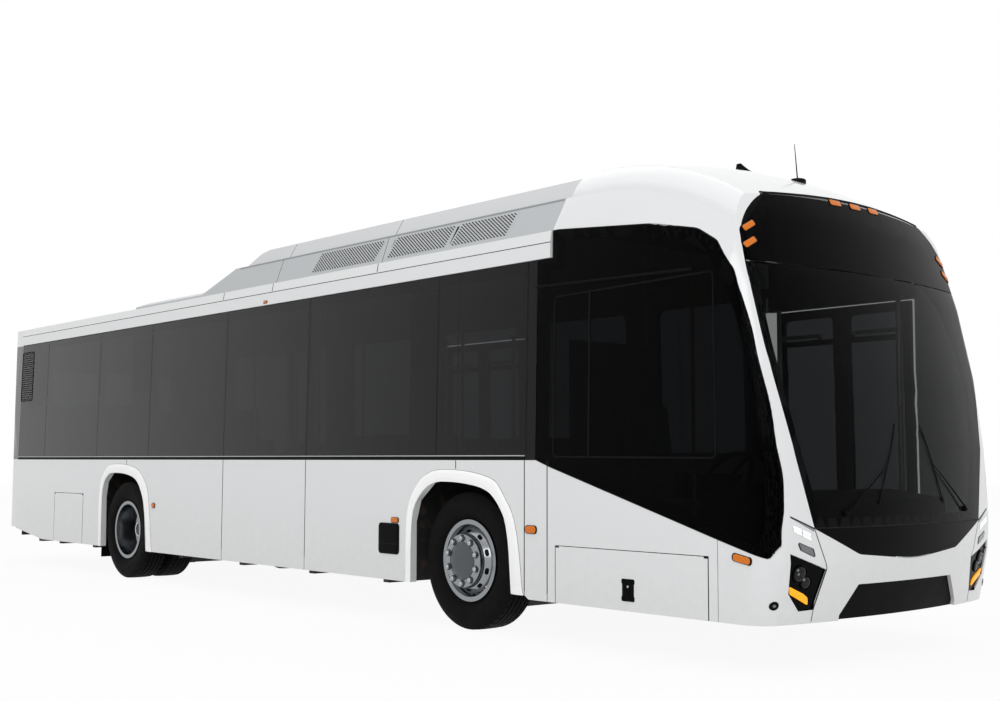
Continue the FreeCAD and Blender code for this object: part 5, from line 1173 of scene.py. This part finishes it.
class BUS_OT_wheels(bpy.types.Operator):
    """Polished rims with their nuts, hub caps and chrome rings"""
    bl_idname = "bus.wheels"
    bl_label = "Wheels"

    def execute(self, context):
        for side, name in ((-1, "right"), (1, "left")):
            dress("rim_front_" + name, ["rim_front", "hub"], lambda middle, normal: np.where(
                np.hypot(middle[:, 0] - FRONT_AXLE, middle[:, 2] - TYRE_R) < FRONT_CAP, 1, 0))
            dress("rims_rear_" + name, ["rim_rear", "hub"], lambda middle, normal: np.where(
                np.hypot(middle[:, 0] - REAR_AXLE, middle[:, 2] - TYRE_R) < REAR_CAP, 1, 0))
            wheel(front_hub(), "front_wheel_trim_" + name, BODY["rim_front_" + name], side)
            wheel(rear_hub(), "rear_wheel_trim_" + name, BODY["rims_rear_" + name], side)
        return {"FINISHED"}


def front_hub():
    """Raised plate with its nuts and the cone behind it, a domed cap with a dark ring round it, and
    dark pads on the cone that paint the shade of the hand holes, which are not cut."""
    centre, face = (FRONT_AXLE, FRONT_OUT, TYRE_R), HUB_PLATE
    plate = [(0.120, face), (0.188, face), (0.196, face + 0.003), (0.200, face + 0.010), (0.203, 0.000),
             (0.236, 0.034), (0.243, 0.046), (0.236, 0.060), (0.120, 0.060)]
    cap = [(0, face - 0.016), (0.060, face - 0.0155), (0.100, face - 0.0135), (0.122, face - 0.009),
           (0.133, face - 0.003), (0.136, face + 0.002), (0, face + 0.002)]
    ring = [(0.137, face - 0.0005), (0.1415, face - 0.0005), (0.1415, face + 0.003), (0.137, face + 0.003)]
    # outline of a dark pad that paints the shade of a hand hole
    opening = rounded(block(0.0, 0.0, 0.052, 0.030), 0.0145)
    parts = nuts(centre, sizes().nut_circle / 2, face, 0.030)
    parts += [(spun(plate, centre, ring=True), "rim_front"), (spun(cap, centre), "cap"),
              (spun(ring, centre, ring=True), "trim")]
    parts += [(raised(opening, lens(0.0008, 0.1, 0.001), on_cone(centre, turn)), "gloss_black")
              for turn in np.linspace(0, TAU, HAND_HOLES, endpoint=False)]
    return parts


def rear_hub():
    """Nuts of the sunk rear plate, the long hub with a chrome ring round its end, and a low collar."""
    centre = (REAR_AXLE, REAR_OUT, TYRE_R)
    face = REAR_OUT - TWIN_PLANE - 0.012
    hub = [(0, face - 0.142), (0.058, face - 0.142), (0.063, face - 0.140), (0.066, face - 0.136),
           (0.066, face - 0.10), (0, face - 0.10)]
    ring = [(0.067, face - 0.1405), (0.074, face - 0.143), (0.083, face - 0.141), (0.087, face - 0.132),
            (0.087, face - 0.10), (0.067, face - 0.10)]
    collar = [(0.112, face - 0.001), (0.120, face - 0.006), (0.152, face - 0.006), (0.157, face - 0.001)]
    return nuts(centre, REAR_NUTS, face, 0.034) + [(spun(hub, centre), "hub"),
                                                   (spun(ring, centre, ring=True), "chrome"),
                                                   (spun(collar, centre, ring=True), "hub")]


def on_cone(centre, turn):
    """Places (arc length, way down the slope, height above it) on the cone between the hub plate and
    the rim, at an angle round the axle."""
    def place(a, b, h):
        angle = turn + a / CONE_RADIUS
        radius = CONE_RADIUS + CONE_OUT * b + CONE_IN * h
        depth = CONE_DEPTH + CONE_IN * b - CONE_OUT * h
        return np.stack([centre[0] + radius * np.sin(angle), centre[1] - depth + 0 * angle,
                         centre[2] + radius * np.cos(angle)], axis=-1)
    return place


def wheel(parts, name, body, side, smooth=30):
    """One object on a wheel, on the left as made or mirrored to the right."""
    if side < 0:
        parts = [(flipped(shell), key) for shell, key in parts]
    return put(name, parts, body, smooth)


def nuts(centre, radius, depth, rise):
    """Wheel nuts with domed caps and washers, on a plate at a depth behind the sidewall's plane."""
    angle = np.linspace(0, TAU, NUTS, endpoint=False) + TAU / (2 * NUTS)
    spots = np.stack([radius * np.cos(angle), 0 * angle, radius * np.sin(angle)], axis=1)
    washer = spun([(0, depth - 0.003), (0.027, depth - 0.003), (0.028, depth), (0, depth)], centre, 16)
    skirt = spun([(0, depth - 0.016), (0.0222, depth - 0.016), (0.0230, depth - 0.014), (0.0230, depth),
                  (0, depth)], centre, 24, facets=6)
    dome = [(0.0190 * math.cos(t), depth - 0.016 - (rise - 0.016) * math.sin(t))
            for t in np.linspace(0, math.pi / 2, 5)]
    cap = spun([(0, depth - 0.014), (0.0190, depth - 0.014)] + dome, centre, 16)
    return [(copies(shape, spots), key) for shape, key in ((washer, "hub"), (skirt, "nut"), (cap, "nut"))]


class BUS_OT_front_lamps(bpy.types.Operator):
    """Headlamp units: light guide cells, upper lens, projector lenses and the amber strip below"""
    bl_idname = "bus.front_lamps"
    bl_label = "Front lamps"

    def execute(self, context):
        for side in (-1, 1):
            add_headlamp(side)
        return {"FINISHED"}


# corners of the lamps of one front corner: distance from the middle, height
LIGHT_GUIDE = [(1.129, 0.882), (1.124, 0.843), (0.976, 0.781), (0.985, 0.830)]
UPPER_LENS = [(1.095, 0.786), (1.065, 0.731), (0.937, 0.680), (0.960, 0.738)]
INDICATOR = [(1.118, 0.520), (1.101, 0.470), (0.944, 0.396), (0.958, 0.446), (0.996, 0.470)]
# distance from the middle, height and radius of the projectors, then of the small lamps beside them
PROJECTORS = ((1.045, 0.588, 0.056), (0.990, 0.536, 0.044))
SMALL_LAMPS = ((1.070, 0.614, 0.009), (1.062, 0.590, 0.009), (1.012, 0.556, 0.009))
LAMP_RECESS = 0.012         # depth of the projectors and the indicator behind the skin


def add_headlamp(side):
    """Lamps of one front corner, the dark slit over them with a grey band of painted shade below it, and the
    seam beside the bumper.
    """
    name = name_of(side)

    def skin(a, b, h):
        return on_nose(side * a, b, h)

    def sunk(a, b, h):
        return on_nose(side * a, b, h - LAMP_RECESS)
    parts = [(raised(rounded(LIGHT_GUIDE, 0.008), lens(0.002), skin), "bezel")]
    # the light guide cells carry a faint painted glow
    parts += [(raised(cell, lens(0.005, 0.3, 0.001), skin), "light_guide")
              for cell in cells(LIGHT_GUIDE, 2, 2, 0.05)]
    put("light_guide_" + name, parts, smooth=40)
    parts = [(raised(rounded(UPPER_LENS, 0.010), lens(0.0015, 0.06), skin), "trim")]
    parts += [(raised(cell, lens(0.003, 0.3, 0.001), skin), "smoked")
              for cell in cells(UPPER_LENS, 1, 1, 0.09)]
    put("upper_lens_" + name, parts, smooth=40)
    parts = []
    for y, z, size in PROJECTORS:
        ring = [(1, 0.0005), (1, 0.006), (0.93, 0.009), (0.86, 0.005), (0.84, -0.002), (0, -0.002)]
        parts += [(raised(circle((y, z), size), ring, sunk), "gloss_black"),
                  (raised(circle((y, z), size * 0.80), lens(0.012, 0.7, 0.001), sunk), "projector")]
    parts += [(raised(circle((y, z), size, 12), lens(0.014, 0.5), sunk), "smoked")
              for y, z, size in SMALL_LAMPS]
    put("projectors_" + name, parts, smooth=40)
    # the amber strip carries a painted glow, though the lamp is off
    strip = raised(rounded(INDICATOR, 0.007), lens(0.010, 0.25), sunk)
    put("indicator_" + name, [(strip, "amber_painted_glow")], smooth=40)
    slit = run([(1.142, 0.930), (0.957, 0.857)], 16)
    seam = run([(0.956, 0.853), (0.840, 0.616), (0.903, 0.372), (0.905, 0.300)], 40)
    # grey band below the slit: painted shade of the recess over the lamps
    shade = band([(1.142, 0.928), (0.957, 0.855)], [(1.136, 0.921), (0.962, 0.838)], 0.0005, skin)
    put("bumper_seam_" + name, [(ribbon(slit, 0.009, 0.0008, skin), "joint"), (shade, "recess"),
                                (ribbon(seam, 0.006, 0.0006, skin), "joint")])


def cells(quad, rows, columns, gap):
    """Rounded outlines of a grid of cells inside a four-cornered field, by interpolation between its
    corners; the gap is a share of a cell."""
    corners = np.array(quad).reshape(2, 2, 2)
    corners[1] = corners[1][::-1]
    made = []
    for i in range(rows):
        for j in range(columns):
            u = (i + np.array([gap, gap, 1 - gap, 1 - gap])[:, None]) / rows
            v = (j + np.array([gap, 1 - gap, 1 - gap, gap])[:, None]) / columns
            spots = ((corners[0, 0] * (1 - u) + corners[0, 1] * u) * (1 - v)
                     + (corners[1, 0] * (1 - u) + corners[1, 1] * u) * v)
            made.append(rounded(spots, 0.003, 3))
    return made


# middles, lengths and heights of the side lamps along the skirt, in metres: x, z, length, height
SIDE_LAMPS = ((3.786, 0.776, 0.095, 0.060), (2.197, 0.787, 0.080, 0.044), (-1.955, 0.790, 0.060, 0.055))
REPEATER = (5.634, 0.676, 0.150, 0.050)         # the indicator on the corner panel, tilted
ROOF_LAMP = (0.162, 2.709, 0.074, 0.030)        # the lamp on the roof's edge
ROOF_LAMP_BACK = 0.014                          # its foot stands this far out, on the cornice
CLEARANCE_Y, CLEARANCE_Z = (-0.207, 0.016, 0.239), 2.968       # the three lamps over the windscreen
CORNER_LAMPS = ((1.112, 2.711), (1.136, 2.601))                # the pair at each end of the header


class BUS_OT_markers(bpy.types.Operator):
    """Amber side lamps, roof edge lamps and the clearance lamps above the windscreen"""
    bl_idname = "bus.markers"
    bl_label = "Marker lamps"

    def execute(self, context):
        parts = []
        for side in (-1, 1):
            parts += side_lamps(on_side(side))
        markers = put("marker_lenses", parts, smooth=40)
        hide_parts("marker_lamps")
        roof = []
        for y in CLEARANCE_Y:
            roof += bezel_lamp(rounded(block(y, CLEARANCE_Z, 0.135, 0.044), 0.014), 0.010, on_nose)
        for side in (-1, 1):
            for y, z in CORNER_LAMPS:
                slanted = tilted(rounded(block(y, z, 0.128, 0.042), 0.012), math.radians(-28))
                roof += bezel_lamp(slanted * (side, 1), 0.010, on_nose)
        put("clearance_lamps", roof, smooth=40)
        return {"FINISHED"}


def side_lamps(skin):
    """Lamps of one side: along the skirt, the repeater near the front and one on the roof's edge."""
    parts = []
    for x, z, length, height in SIDE_LAMPS:
        parts += bezel_lamp(rounded(block(x, z, length * 1.3, height), height * 0.42), 0.014, skin)
    repeater = tilted(rounded(block(*REPEATER), 0.020), math.radians(-10.5))
    x, z, length, height = ROOF_LAMP
    foot = rounded(block(x, z, length, height), 0.006)
    dome = rounded(block(x, z, length * 0.86, height * 0.7), 0.006)
    out = ROOF_LAMP_BACK
    return parts + bezel_lamp(repeater, 0.014, skin) + [
        (raised(foot, lens(0.004 + out, 0.2, -out), skin), "trim"),
        (raised(dome, lens(0.008 + out, 0.4, -out), skin), "amber")]


def bezel_lamp(outline, rise, skin):
    """Amber lens that stands in a dark rim."""
    middle = outline.mean(axis=0)
    return [(raised(outline, lens(rise * 0.45, 0.12, 0.001), skin), "trim"),
            (raised(middle + (outline - middle) * 0.86, lens(rise * 0.95, 0.45, 0.001), skin), "amber")]


class BUS_OT_rear_end(bpy.types.Operator):
    """Tail lamp clusters with red, amber and clear cells"""
    bl_idname = "bus.rear_end"
    bl_label = "Rear end"

    def execute(self, context):
        (_, _, foot), (_, _, head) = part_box("tail_lamps")

        def lamp_cells(middle, normal):
            """0 for the red cells at the head and the foot, 1 for the amber one, 2 for the clear one."""
            share = (middle[:, 2] - foot) / (head - foot)
            return np.select([share > 0.72, share > 0.5, share > 0.3], [0, 1, 2], 0)
        # the clear cell takes the light guide's faint painted glow
        dress("tail_lamps", ["red", "amber", "light_guide"], lamp_cells)
        return {"FINISHED"}


WIPER_PIVOT, WIPER_TIP = (0.695, 0.941), (0.263, 1.241)        # distance from the middle, height
WIPER_LEAN = (0.42, 0.907)                      # way of the blade: towards the middle, up


class BUS_OT_wipers(bpy.types.Operator):
    """Two wipers low on the windscreen: a pivot, a spring arm and a blade each"""
    bl_idname = "bus.wipers"
    bl_label = "Wipers"

    def execute(self, context):
        for side in (-1, 1):
            pivot, tip = np.array([side, 1]) * WIPER_PIVOT, np.array([side, 1]) * WIPER_TIP
            path = run([pivot, tip], 12)
            height = np.interp(np.linspace(0, 1, 12), [0, 0.4, 1], [0.022, 0.017, 0.010])
            arm = on_nose(path[:, 0], path[:, 1], height)
            reach = np.array([-side, 1]) * WIPER_LEAN / math.hypot(*WIPER_LEAN) * (
                sizes().wiper_length / 2) * 0.62
            ends = run([tip - reach, tip + reach], 24)
            blade = on_nose(ends[:, 0], ends[:, 1], np.full(24, 0.006))
            put("wiper_" + name_of(side),
                [(raised(circle(pivot, 0.019, 24), lens(0.026, 0.5), on_nose), "trim"),
                 (tube(arm, np.linspace(0.007, 0.0035, 12), 8, 0.8), "trim"),
                 (tube(blade, 0.0042, 8, 0.8), "seal")], smooth=40)
        return {"FINISHED"}


BELT_REAR, BELT_FRONT = -5.640, 3.720           # ends of the trim along the belt
DOORWAY = (-0.330, 0.970)                       # the middle doorway, on the left side only
CORNICE_Z, CORNICE_OUT = 2.791, 0.014           # the seal above the glass stands on the cornice
GLASS_JOINTS = (3.732, 2.955, 2.709, 0.897, -0.541, -2.110, -3.368, -4.829)
# x and foot of the joints between the skirt's panels
SKIRT_JOINTS = ((-2.600, 1.208), (-0.541, 0.420), (0.893, 0.420), (2.950, 1.196), (3.716, 0.345),
                (3.950, 0.345))
# height, width, rise and finish of the strips along the belt
BELT_STRIPS = ((1.2745, 0.027, 0.0008, "seal"), (1.2920, 0.007, 0.003, "steel"))
GROOVE_X = 2.740            # a groove of the solid panel over the front wheel, filled and painted


class BUS_OT_trim(bpy.types.Operator):
    """Rubber and painted strips: cornice seal, belt line, glass gaskets, cab window frame and covers"""
    bl_idname = "bus.trim"
    bl_label = "Trim"

    def execute(self, context):
        for side in (-1, 1):
            add_side_strips(side)
        add_cab_window()
        add_tow_cap()
        add_charge_cover()
        add_latch()
        add_side_vents()
        return {"FINISHED"}


def add_side_strips(side):
    """Strips of one side: cornice seal, joints between the panes, belt line and joints of the skirt.
    On the left the doorways interrupt them."""
    name, skin = name_of(side), on_side(side)
    parts = [(ribbon(run([(low, CORNICE_Z), (high, CORNICE_Z)], steps), width, 0.0005 + CORNICE_OUT, skin,
                     back=-0.010), "seal")
             for low, high, steps, width in ((-1.150, 3.970, 24, 0.020), (BELT_REAR, -1.150, 16, 0.008))]
    put("cornice_seal_" + name, parts)
    parts = [(ribbon(run([(x, 1.268), (x, 2.674)], 12), 0.0075, -0.001, skin, back=0.006), "seal")
             for x in GLASS_JOINTS if side < 0 or not DOORWAY[0] < x < DOORWAY[1]]
    put("glass_joints_" + name, parts)
    belt = [(BELT_REAR, BELT_FRONT)] if side < 0 else [(BELT_REAR, DOORWAY[0]), (DOORWAY[1], BELT_FRONT)]
    parts = [(ribbon(run([(low, z), (high, z)], 40), width, rise, skin, back=0.002), key)
             for low, high in belt for z, width, rise, key in BELT_STRIPS]
    put("belt_strip_" + name, parts)
    parts = [(ribbon(run([(x, foot), (x, 1.258)], 10), 0.009, 0.0006, skin), "joint")
             for x, foot in SKIRT_JOINTS if side < 0 or x > 3.5 or x < -2.0]
    parts.append((ribbon(run([(GROOVE_X, 1.192), (GROOVE_X, 1.259)], 4), 0.011, 0.0005, skin), "paint"))
    put("skirt_joints_" + name, parts)


def add_cab_window():
    """Frame of the driver's sliding window with its upright bar, and the gutter above it."""
    skin = on_side(-1)
    rim = rounded([(4.011, 1.285), (4.011, 2.396), (5.420, 2.430), (5.446, 1.275)], 0.030)
    bar = run([(4.355, 1.290), (4.355, 2.400)], 14)
    gutter = run([(3.816, 2.486), (5.256, 2.460)], 20)
    parts = [(ribbon(rim, 0.012, 0.003, skin, closed=True, back=0.002), "seal"),
             (ribbon(bar, 0.016, 0.004, skin, back=0.002), "seal"),
             (ribbon(gutter, 0.016, 0.010, skin, back=0.002), "seal")]
    put("cab_window_frame", parts)


TOW_EYE = (1.202, 0.409)    # distance from the middle, height


def add_tow_cap():
    """Round rubber cap over the towing eye, low on each front corner, with a plug in its middle."""
    for side in (-1, 1):
        spot = (side * TOW_EYE[0], TOW_EYE[1])
        put("tow_cap_" + name_of(side), [(raised(circle(spot, 0.026), lens(0.004, 0.25), on_nose), "seal"),
                                         (raised(circle(spot, 0.009), lens(0.006, 0.4), on_nose), "smoked")])


def add_charge_cover():
    """Gloss cover of the charging socket with its split line."""
    skin = on_side(-1)
    rear, front, foot, head, split = 1.985, 2.254, 0.518, 0.762, 0.600
    outline = rounded([(front, head), (rear, head), (rear, foot), (front, foot)], 0.030)
    line = run([(rear + 0.007, split), (front - 0.007, split)], 8)
    parts = [(raised(outline, lens(0.0105, 0.12, 0.0), skin), "gloss_black"),
             (ribbon(line, 0.003, 0.0108, skin, back=0), "joint")]
    cover = put("charge_flap", parts)
    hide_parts("charge_cover")


LATCH_X = 4.710


def add_latch():
    """Recessed paddle latch of the front underfloor lid, with its lock."""
    skin = on_side(-1)
    plates = [(block(LATCH_X, 0.425, 0.104, 0.140), 0.016, lens(0.003, 0.10, 0.001), "trim"),
              (block(LATCH_X, 0.480, 0.114, 0.034), 0.010, lens(0.0045, 0.2, 0.001), "gloss_black"),
              (block(LATCH_X, 0.370, 0.114, 0.034), 0.010, lens(0.0045, 0.2, 0.001), "gloss_black"),
              (block(LATCH_X - 0.010, 0.420, 0.062, 0.060), 0.012, lens(0.006, 0.2, 0.001), "gloss_black")]
    parts = [(raised(rounded(corners, radius), levels, skin), key) for corners, radius, levels, key in plates]
    lock = raised(circle((LATCH_X + 0.002, 0.448), 0.0085, 16), lens(0.0078, 0.3, 0.001), skin)
    put("lid_latch", parts + [(lock, "steel")], BODY["side_lid_front"])


VENT_REAR, VENT_FRONT, VENT_FOOT, VENT_HEAD = -5.635, -5.285, 1.985, 2.585


def add_side_vents():
    """Slatted air intakes behind the last side windows."""
    for side in (-1, 1):
        skin = on_side(side)
        rim = rounded([(VENT_FRONT, VENT_HEAD), (VENT_REAR, VENT_HEAD), (VENT_REAR, VENT_FOOT),
                       (VENT_FRONT, VENT_FOOT)], 0.020)
        parts = [(ribbon(rim, 0.014, 0.004, skin, closed=True, back=0.001), "trim")]
        slat = ribbon(run([(VENT_REAR + 0.007, 0.0), (VENT_FRONT - 0.007, 0.0)], 4), 0.012, 0.004,
                      lambda a, b, h: np.stack([a, h, b], axis=-1), back=0.001)
        slats = copies(slat, [(0, side_depth(z), z) for z in
                              np.linspace(VENT_FOOT + 0.020, VENT_HEAD - 0.020, sizes().vent_slats)])
        parts.append((slats if side > 0 else flipped(slats), "trim"))
        put("side_vent_" + name_of(side), parts)


# x and floor height of the rows of passenger seats, and how far in from the side each seat's middle is
SEAT_ROWS = ((1.850, 0.370), (1.150, 0.370), (-1.150, 0.370), (-1.850, 0.370), (-4.000, 0.800),
             (-4.700, 0.800), (-5.400, 0.800))
WINDOW_SEAT, AISLE_SEAT = 0.31, 0.77


class BUS_OT_seats(bpy.types.Operator):
    """Passenger and driver's seats: moulded shells with padded, cloth-covered cushions and backs"""
    bl_idname = "bus.seats"
    bl_label = "Seats"

    def execute(self, context):
        spots = (WINDOW_SEAT - HALF_WIDTH, AISLE_SEAT - HALF_WIDTH, HALF_WIDTH - AISLE_SEAT,
                 HALF_WIDTH - WINDOW_SEAT)
        places = [(x, y, z) for x, z in SEAT_ROWS for y in spots]
        driver = [(4.330, 0.65 - HALF_WIDTH, 0.550)]
        for seats, covers, backs, width, spread in (
                ("passenger_seats", "passenger_cushions", "passenger_shells", 0.42, places),
                ("driver_seat", "driver_cushions", "driver_shell", 0.46, driver)):
            cushions = put(covers, [(copies(pad, spread), "cloth") for pad in seat_pads(width)], smooth=60)
            shells = put(backs, [(copies(part, spread), key) for part, key in seat_shell(width)], smooth=40)
            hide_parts(seats)
            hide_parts(seats)
        return {"FINISHED"}


def pillow(width, length, thick, rows=14, columns=12):
    """Crowned pad: a rounded oblong whose half thickness falls to the seam as the root of one less the
    fourth power of the way out, both ways, and whose sides pull in between the corners."""
    u, v = np.meshgrid(np.linspace(-1, 1, rows), np.linspace(-1, 1, columns), indexing="ij")
    pull = 1 - 0.03 * (1 - v ** 2)
    x, y = u * length / 2 * pull, v * width / 2 * (1 - 0.03 * (1 - u ** 2))
    crown = ((1 - u ** 4) * (1 - v ** 4)) ** 0.5 * thick / 2 * (0.86 + 0.14 * pull)
    upper, faces = grid(np.stack([x, y, crown], axis=-1))
    lower, _ = grid(np.stack([x, y, -crown], axis=-1))
    return np.concatenate([upper, lower]), np.concatenate([faces, faces[:, ::-1] + len(upper)])


def seat_pads(width):
    """Cushion and back pad of one seat, about the rear foot of its cushion."""
    seat = pillow(width, 0.40, 0.060)
    seat = seat[0] + (0.225, 0, 0.415), seat[1]
    back = turned(pillow(width, 0.62, 0.055), (0, 1, 0), -math.radians(98.0))
    back = back[0] + (0.000, 0, 0.775), back[1]
    return [seat, back]


def seat_shell(width):
    """Moulded shell under and behind the pads and its pedestal, about the rear foot of the cushion."""
    profile = np.array([(0.43, 0.383), (0.20, 0.381), (0.045, 0.385), (0.010, 0.42), (-0.030, 0.70),
                        (-0.075, 1.05), (-0.090, 1.098)])
    line = run(cut_corners(profile, 3), 26)
    ahead = unit(np.gradient(line, axis=0))
    across = np.linspace(-1, 1, 9)
    lip = 0.016 * across ** 4
    x = line[:, None, 0] + ahead[:, None, 1] * lip
    z = line[:, None, 1] - ahead[:, None, 0] * lip
    face = np.stack([x, np.zeros_like(x) + across * (width / 2 + 0.006), z], axis=-1)
    back = face - np.stack([ahead[:, 1], 0 * ahead[:, 0], -ahead[:, 0]], axis=1)[:, None] * 0.006
    shell = capped(np.concatenate([face, back[:, ::-1]], axis=1))
    post = tube([(0.20, 0, z) for z in (0.0, 0.02, 0.36, 0.385)], [0.055, 0.04, 0.035, 0.06], 16)
    return [(shell, "shell"), (post, "steel")]


class BUS_OT_cabin(bpy.types.Operator):
    """Dashboard, steering wheel, floor, poles and the driver's partition"""
    bl_idname = "bus.cabin"
    bl_label = "Cabin"

    def execute(self, context):
        dress("dashboard", ["dash"])
        dress("steering_wheel", ["grip"])
        dress("handrails", ["rail"])
        dress("floor_deck", ["floor", "chassis"], lambda middle, normal: np.where(normal[:, 2] > 0.5, 0, 1))
        wear(("driver_partition", "dash"), ("wheel_boxes", "chassis"))
        return {"FINISHED"}


class BUS_OT_running_gear(bpy.types.Operator):
    """Chassis rails, axles, knuckles and motor"""
    bl_idname = "bus.running_gear"
    bl_label = "Running gear"

    def execute(self, context):
        wear(("chassis_rails", "chassis"), ("cross_members", "chassis"), ("drive_motor", "motor"))
        for name in ("front_axle_beam", "rear_axle_housing", "knuckle_left", "knuckle_right"):
            dress(name, ["cast"])
        return {"FINISHED"}


class BUS_OT_doors(bpy.types.Operator):
    """Passenger doors: leaves, glass and arms"""
    bl_idname = "bus.doors"
    bl_label = "Doors"

    def execute(self, context):
        for doorway in ("front", "middle"):
            for half in ("front", "rear"):
                stem = doorway + "_door_" + half
                dress(stem + "_leaf", ["trim"])
                dress(stem + "_glass", ["glass"])
                dress(stem + "_arm", ["steel"])
        return {"FINISHED"}


OPERATORS = (BUS_OT_stage, BUS_OT_paintwork, BUS_OT_glazing, BUS_OT_tyres, BUS_OT_wheels, BUS_OT_front_lamps,
             BUS_OT_markers, BUS_OT_rear_end, BUS_OT_wipers, BUS_OT_trim, BUS_OT_seats, BUS_OT_cabin,
             BUS_OT_running_gear, BUS_OT_doors)


class BUS_PT_panel(bpy.types.Panel):
    """Sidebar panel with every part of the bus, its colours and its sizes"""
    bl_idname = "BUS_PT_panel"
    bl_label = "City bus"
    bl_space_type = "VIEW_3D"
    bl_region_type = "UI"
    bl_category = "Bus"

    def draw(self, context):
        for kind in OPERATORS:
            self.layout.operator(kind.bl_idname)
        for group in (context.scene.bus_colours, context.scene.bus_sizes):
            for name in group.__annotations__:
                self.layout.prop(group, name)


def register():
    """Register the settings, the operators and the panel."""
    for kind in (BusColours, BusSizes) + OPERATORS + (BUS_PT_panel,):
        bpy.utils.register_class(kind)
    bpy.types.Scene.bus_colours = PointerProperty(type=BusColours)
    bpy.types.Scene.bus_sizes = PointerProperty(type=BusSizes)


def unregister():
    """Take the settings, the operators and the panel away again."""
    del bpy.types.Scene.bus_colours
    del bpy.types.Scene.bus_sizes
    for kind in (BUS_PT_panel,) + OPERATORS[::-1] + (BusSizes, BusColours):
        bpy.utils.unregister_class(kind)


def main():
    """Build everything in order."""
    register()
    make_finishes()
    for kind in OPERATORS:
        group, name = kind.bl_idname.split(".")
        getattr(getattr(bpy.ops, group), name)()


if __name__ == "__main__":
    main()
